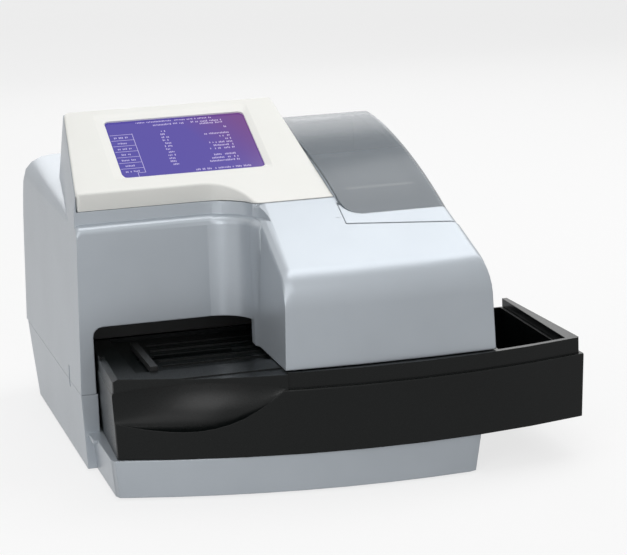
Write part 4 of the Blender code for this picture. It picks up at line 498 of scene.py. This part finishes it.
def turn_outwards(piece):
    """Merge doubles, then let every face look outwards; edges past CRISP stay sharp."""
    cleaned = bmesh.new()
    cleaned.from_mesh(piece.data)
    bmesh.ops.remove_doubles(cleaned, verts=cleaned.verts, dist=MERGE)
    bmesh.ops.dissolve_degenerate(cleaned, edges=cleaned.edges, dist=MERGE)
    bmesh.ops.recalc_face_normals(cleaned, faces=cleaned.faces)
    cleaned.to_mesh(piece.data)
    cleaned.free()
    piece.data.set_sharp_from_angle(angle=CRISP)

display_frame = finish_piece(surface("display_frame", frame_ring(), True, True), white_abs,
                             node="display_bezel")
print("display frame:", len(display_frame.data.polygons), "faces")

# %% [markdown]
# ## The lit screen
# The display is a lit panel behind glass. Its light is stronger at the lower left, blue-violet, and
# turns to magenta at the right. A plain sheet with emission shows that. What the screen lists isn't
# copied: a generic layout takes its place, a ruled column at the left and columns of short lines
# made of tiny blocks, which read as a list from a distance and as nothing from near.

# %% The glowing sheet
def lit_panel(name, colours, strength):
    """Light of three colours, low left to high right; behind it the panel is nearly black."""
    material = bpy.data.materials.new(name)
    material.use_nodes = True
    tree = material.node_tree
    shader = tree.nodes["Principled BSDF"]
    place = add_node(tree, "ShaderNodeTexCoord").outputs["Object"]
    split = add_node(tree, "ShaderNodeSeparateXYZ", None, {0: place})
    across = add_node(tree, "ShaderNodeMapRange", None,
                      {"Value": split.outputs["X"], "From Min": SCREEN_X * METRES,
                       "From Max": (SCREEN_X + SCREEN_W) * METRES, "To Max": 0.75})
    up = add_node(tree, "ShaderNodeMapRange", None,
                  {"Value": split.outputs["Y"], "From Min": ROOF_Y * METRES,
                   "From Max": (ROOF_Y + SCREEN_H * math.cos(SLOPE)) * METRES, "To Max": 0.25})
    both = add_node(tree, "ShaderNodeMath", {"operation": "ADD"},
                    {0: across.outputs["Result"], 1: up.outputs["Result"]})
    ramp = add_node(tree, "ShaderNodeValToRGB", None, {"Fac": both.outputs[0]})
    stops = ramp.color_ramp.elements
    stops[0].position, stops[0].color = 0.10, linear(colours[0])
    stops[1].position, stops[1].color = 0.95, linear(colours[2])
    stops.new(0.62).color = linear(colours[1])
    tree.links.new(ramp.outputs["Color"], shader.inputs["Emission Color"])
    shader.inputs["Emission Strength"].default_value = strength
    shader.inputs["Base Color"].default_value = linear("08060F")
    shader.inputs["Roughness"].default_value = 0.10
    shader.inputs["Specular IOR Level"].default_value = 0.2
    return material

lit_screen = lit_panel("display film lit blue-violet", ("5149A2", "5547A0", "6F4087"), 1.0)
letters = lit_panel("display film lit pale", ("B9B1DF", "BDB2DE", "C8B2D6"), 1.0)
SCREEN_LIFT = -PLATE * math.cos(SLOPE) - 0.24

# Corners of a block: 0 to 3 round its foot, 4 to 7 round its top; six faces join them.
BLOCK = np.array([[3, 2, 1, 0], [4, 5, 6, 7], [0, 1, 5, 4], [1, 2, 6, 5], [2, 3, 7, 6],
                  [3, 0, 4, 7]])

def film(margin=3.6, thick=0.06):
    """Thin plate on the glass: two rectangles, joined round their edges."""
    x = np.array([SCREEN_X - margin, SCREEN_X + SCREEN_W + margin])
    along = np.array([-margin, SCREEN_H + margin])
    ring = on_roof(x[[0, 1, 1, 0]], along[[0, 0, 1, 1]], 0.0)
    off = np.array([0.0, -math.sin(SLOPE), math.cos(SLOPE)])
    return np.stack([ring + off * (SCREEN_LIFT - thick), ring + off * SCREEN_LIFT]) * METRES

def boxes_on_screen(name, rows, material, thick=0.05):
    """Flat blocks on the film; a row is left, right, low, high, in mm from the screen's corner."""
    rows = np.asarray(rows, float)
    x = SCREEN_X + rows[:, [0, 1, 1, 0, 0, 1, 1, 0]]
    along = rows[:, [2, 2, 3, 3, 2, 2, 3, 3]]
    lift = SCREEN_LIFT + np.array([0.0] * 4 + [thick] * 4)
    points = on_roof(x, along, np.broadcast_to(lift, x.shape)).reshape(-1, 3) * METRES
    faces = (np.arange(len(rows))[:, None, None] * 8 + BLOCK).reshape(-1, 4)
    return finish_piece(mesh_object(name, points, faces), material)

finish_piece(mesh_object("screen_film", film().reshape(-1, 3), BLOCK), lit_screen)
print("screen film placed")

# %% A generic list: ruled column, labels, values
dice = np.random.default_rng(7)

def greeked(left, low, width, size=2.4, pitch=1.35):
    """A line of blocks that stands for small print: even steps, some left out, heights uneven."""
    at = np.arange(left, left + width - pitch * 0.7, pitch)
    keep = dice.random(len(at)) > 0.16
    foot = low + np.where(dice.random(len(at)) > 0.75, 0.5, 0.0)
    head = low + size * np.where(dice.random(len(at)) > 0.6, 1.0, 0.78)
    return np.stack([at, at + pitch * 0.62, foot, head], -1)[keep]

# Left, low and width of each heading; then the ruled column, and the list with its values.
HEADINGS = ((26.0, 79.0, 66.0, 2.0), (40.0, 73.6, 27.0), (73.0, 74.0, 27.0), (80.0, 70.6, 22.0),
            (62.0, 3.6, 48.0))
KEYS, KEY_LOW, KEY_PITCH, KEY_RIGHT, RULE = 7, 7.0, 8.3, 19.5, 0.5
LIST_HIGH, LIST_PITCH, LABEL_LEFT, VALUE_RIGHT = 63.5, 4.5, 43.5, 102.0
VALUES = (2.7, 0.0, 21.6, 9.5, 5.4, 20.3, 17.6, 21.6, 0.0, 20.3, 23.0, 25.7)

lines = [greeked(*heading) for heading in HEADINGS]
for k in range(KEYS):
    low = KEY_LOW + KEY_PITCH * k
    lines.append(np.array([[RULE, KEY_RIGHT, low + 6.9, low + 6.9 + RULE]]))
    lines.append(greeked(5.0, low + 1.6, 8.0) if k % 2 else greeked(3.5, low + 1.6, 12.0))
lines.append(np.array([[KEY_RIGHT, KEY_RIGHT + RULE, KEY_LOW, 64.9],
                       [13.5, 20.0, KEY_LOW, KEY_LOW + RULE], [13.0, 13.5, 1.5, 7.5]]))
for k, wide in enumerate(VALUES):
    low = LIST_HIGH - LIST_PITCH * k
    lines.append(greeked(LABEL_LEFT, low, 6.8 if k % 3 else 5.4))
    if wide:
        lines.append(greeked(VALUE_RIGHT - wide, low, wide))
screen_rows = boxes_on_screen("screen_rows", np.vstack(lines), letters)
print("blocks on the screen:", len(screen_rows.data.polygons) // 6)

# %% [markdown]
# ## Inside the printer
# Through the smoked cover you see the white roll dimly, and the web of paper that runs from it over
# the platen to the tear bar. The web is a profile, an arc and a straight run, swept across the
# paper's width. It is thin, so it is made as one closed flat tube.

# %% The paper's path
SKEW = 0.1114
BAY_X, BAY_Y = 16.4, -97.8

def bay(u, y, z):
    """The printer's left side leans by SKEW per mm of depth y; u runs from it to the right."""
    return np.stack(np.broadcast_arrays(BAY_X - (y - BAY_Y) * SKEW + u, y, z), -1)

def middle(node):
    """Middle of a node's box, and its half height, in mm."""
    low, high = (np.array(corner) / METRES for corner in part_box(node))
    return (low + high) / 2, (high[2] - low[2]) / 2

(roll, roll_r), (platen, platen_r) = middle("paper_roll"), middle("platen_roller")
ROUND_ROLL, ROUND_PLATEN = 1.2, 0.9   # angles through which the web follows each of them

def around(centre, radius, angles):
    """Points (y, z) of a circle round a middle."""
    return np.column_stack([centre[1] + radius * np.cos(angles),
                            centre[2] + radius * np.sin(angles)])

def paper_path(thick=0.3, lift=0.25, steps=14):
    """Side view of the web as (y, z): round the roll's top, straight to the platen, over it.

    Both rollers turn the web clockwise in this view, so the straight run touches both from above:
    it starts and ends at the angle of the line between their middles, turned by the difference of
    their radii over their distance.
    """
    r0, r1 = roll_r + lift, platen_r + lift
    run = platen[1:] - roll[1:]
    gap = np.hypot(*run)
    touch = np.arctan2(run[1], run[0]) + math.acos((r0 - r1) / gap)
    on_roll = np.linspace(touch + ROUND_ROLL, touch, steps)
    on_platen = np.linspace(touch, touch - ROUND_PLATEN, steps)
    outer = np.vstack([around(roll, r0 + thick, on_roll), around(platen, r1 + thick, on_platen)])
    inner = np.vstack([around(roll, r0, on_roll), around(platen, r1, on_platen)])
    return np.vstack([outer, inner[::-1]])

path = paper_path()
print("web of", len(path), "points, over y", path[:, 0].min().round(1), path[:, 0].max().round(1))

# %% The web as a flat closed tube across the paper's width
WEB_U0, WEB_U1 = 14.0, 71.0

def paper_web():
    """The path at both edges of the paper; each end is closed by the path's own middle line."""
    y, z = path[:, 0], path[:, 1]
    middle_y, middle_z = (y + y[::-1]) / 2, (z + z[::-1]) / 2
    rows = [bay(WEB_U0, middle_y, middle_z), bay(WEB_U0, y, z), bay(WEB_U1, y, z),
            bay(WEB_U1, middle_y, middle_z)]
    return np.stack(rows) * METRES

finish_piece(surface("paper_web", paper_web(), False, True), thermal_paper)
print("paper web placed")

# %% [markdown]
# ## Connectors and screws at the back
# The back panel carries two data connectors. Each gets a dark insulator with two rows of
# gold-plated contacts and a threaded hexagonal post at either end. Small screws with a hexagonal
# socket hold the panel and the fan. All of these are turned parts, so one function makes them
# from their profile, and copies the shell to each place.

# %% Turned parts that point to the back
contact_gold = metal("contact gold plated", "D8B666", "CBA659", 2.0, 0.26, 0.04)

def turned(name, profile, places, material, sides=36):
    """Copies of one turned part, one closed shell at each place.

    A row of the profile is (radius, out, hexagon): out is the distance along +Y from the place,
    and with hexagon 1 the row is a hexagon whose flats lie at that radius, r / cos(angle from
    the middle of the nearest flat).
    """
    angle = np.linspace(0.0, 2 * math.pi, sides, endpoint=False)[:, None]
    sixth = math.pi / 3
    flat = 1.0 / np.cos((angle + sixth / 2) % sixth - sixth / 2)
    radius, out, hexagon = np.asarray(profile, float).T
    reach = radius * (1.0 + hexagon * (flat - 1.0))
    shell = np.stack([reach * np.cos(angle), np.broadcast_to(out, reach.shape),
                      reach * np.sin(angle)], -1)
    quads = grid_quads(*shell.shape[:2], wrap_u=True)
    points = np.asarray(places, float)[:, None] + shell.reshape(1, -1, 3)
    faces = quads + np.arange(len(places))[:, None, None] * len(shell) * len(profile)
    piece = mesh_object(name, points.reshape(-1, 3) * METRES, faces.reshape(-1, 4))
    return finish_piece(piece, material)

# %% Contacts, insulators and posts of both connectors
CONTACT = [(0, 4.0, 0), (0.25, 3.95, 0), (0.43, 3.75, 0), (0.5, 3.4, 0), (0.5, -0.2, 0),
           (0, -0.2, 0)]
POST = [(0, 0.6, 0), (1.2, 0.6, 0), (1.2, 3.1, 0), (1.5, 3.4, 0), (2.1, 3.4, 0), (2.4, 3.1, 1),
        (2.4, 0.02, 1), (0, 0.02, 0)]
PITCH, ROW_GAP = 2.77, 2.84         # standard spacing of contacts in a row and of the two rows
SHELL_OUT, MOUTH_DEEP = 2.6, 5.6    # shell's height over its flange's foot, depth of its mouth
MOUTH_INSET, MOUTH_HALF = 9.0, 3.5  # mouth's end from the flange's end, half its height
FLANGE, INSULATOR = 1.0, 1.8        # thickness of the flange and of the insulator
SLACK, SKIN = 0.15, 0.05            # insulator's room at its sides and at its back
POST_INSET = 3.6                    # post's axis from the flange's end
PANEL_GAP = 0.3                     # between the panel's face and the flanges

def connector(node, contacts):
    """Insulator in the connector's mouth, its contacts, and a post at either end.

    The contacts stand in two rows, the upper one longer by one. The y of the flange's foot
    is given back.
    """
    low, high = (np.array(corner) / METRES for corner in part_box(node))
    x, z = (low[0] + high[0]) / 2, (low[2] + high[2]) / 2
    foot = high[1] - SHELL_OUT
    floor_y = high[1] - MOUTH_DEEP + SKIN
    half = (high[0] - low[0]) / 2 - MOUTH_INSET - SLACK
    tall = MOUTH_HALF - SLACK
    block = [(x + sx * half, y, z + sz * tall) for y in (floor_y, floor_y + INSULATOR)
             for sx, sz in ((-1, -1), (1, -1), (1, 1), (-1, 1))]
    insulator = mesh_object(node + "_insulator", np.array(block) * METRES, BLOCK)
    finish_piece(insulator, black_nylon)
    top, below = (contacts + 1) // 2, contacts // 2
    places = [(x + (k - (count - 1) / 2) * PITCH, floor_y + INSULATOR, z + side * ROW_GAP / 2)
              for count, side in ((top, 1), (below, -1)) for k in range(count)]
    turned(node + "_contacts", CONTACT, places, contact_gold, sides=12)
    posts = [(end, foot + FLANGE, z) for end in (low[0] + POST_INSET, high[0] - POST_INSET)]
    turned(node + "_posts", POST, posts, ground_steel)
    return foot

panel_front = connector("data_port", 25) - PANEL_GAP
connector("serial_port", 9)
print("connectors filled; panel front at y", round(float(panel_front), 2))

# %% Screws of the panel and the fan
def socket_screw(radius):
    """Button head: hexagonal socket, flat ring, and a quarter of an ellipse down to the panel."""
    rise, ring, hexagon = 0.65 * radius, 0.62 * radius, 0.42 * radius
    sunk = 0.35 * rise
    t = np.radians([90, 70, 50, 30, 10, 0])
    dome = np.column_stack([ring + (radius - ring) * np.cos(t), rise * np.sin(t), 0 * t])
    return np.vstack([[(0, sunk, 0), (hexagon, sunk, 1), (hexagon, rise, 1)], dome, [(0, 0, 0)]])

def four_spots(centre, half_x, half_z):
    """Corners of an upright rectangle on the panel's face."""
    return [(centre[0] + sx * half_x, panel_front, centre[2] + sz * half_z)
            for sx in (-1, 1) for sz in (-1, 1)]

SCREW_IN, FAN_HALF_X, FAN_HALF_Z = 11.0, 17.0, 16.0
panel_low, panel_high = (np.array(corner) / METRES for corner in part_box("rear_panel"))
reach = (panel_high - panel_low) / 2 - SCREW_IN
turned("panel_screws", socket_screw(3.0), four_spots(middle("rear_panel")[0], reach[0], reach[2]),
       ground_steel)
turned("fan_screws", socket_screw(2.2), four_spots(middle("fan_frame")[0], FAN_HALF_X, FAN_HALF_Z),
       ground_steel)
print("screws placed on the panel")
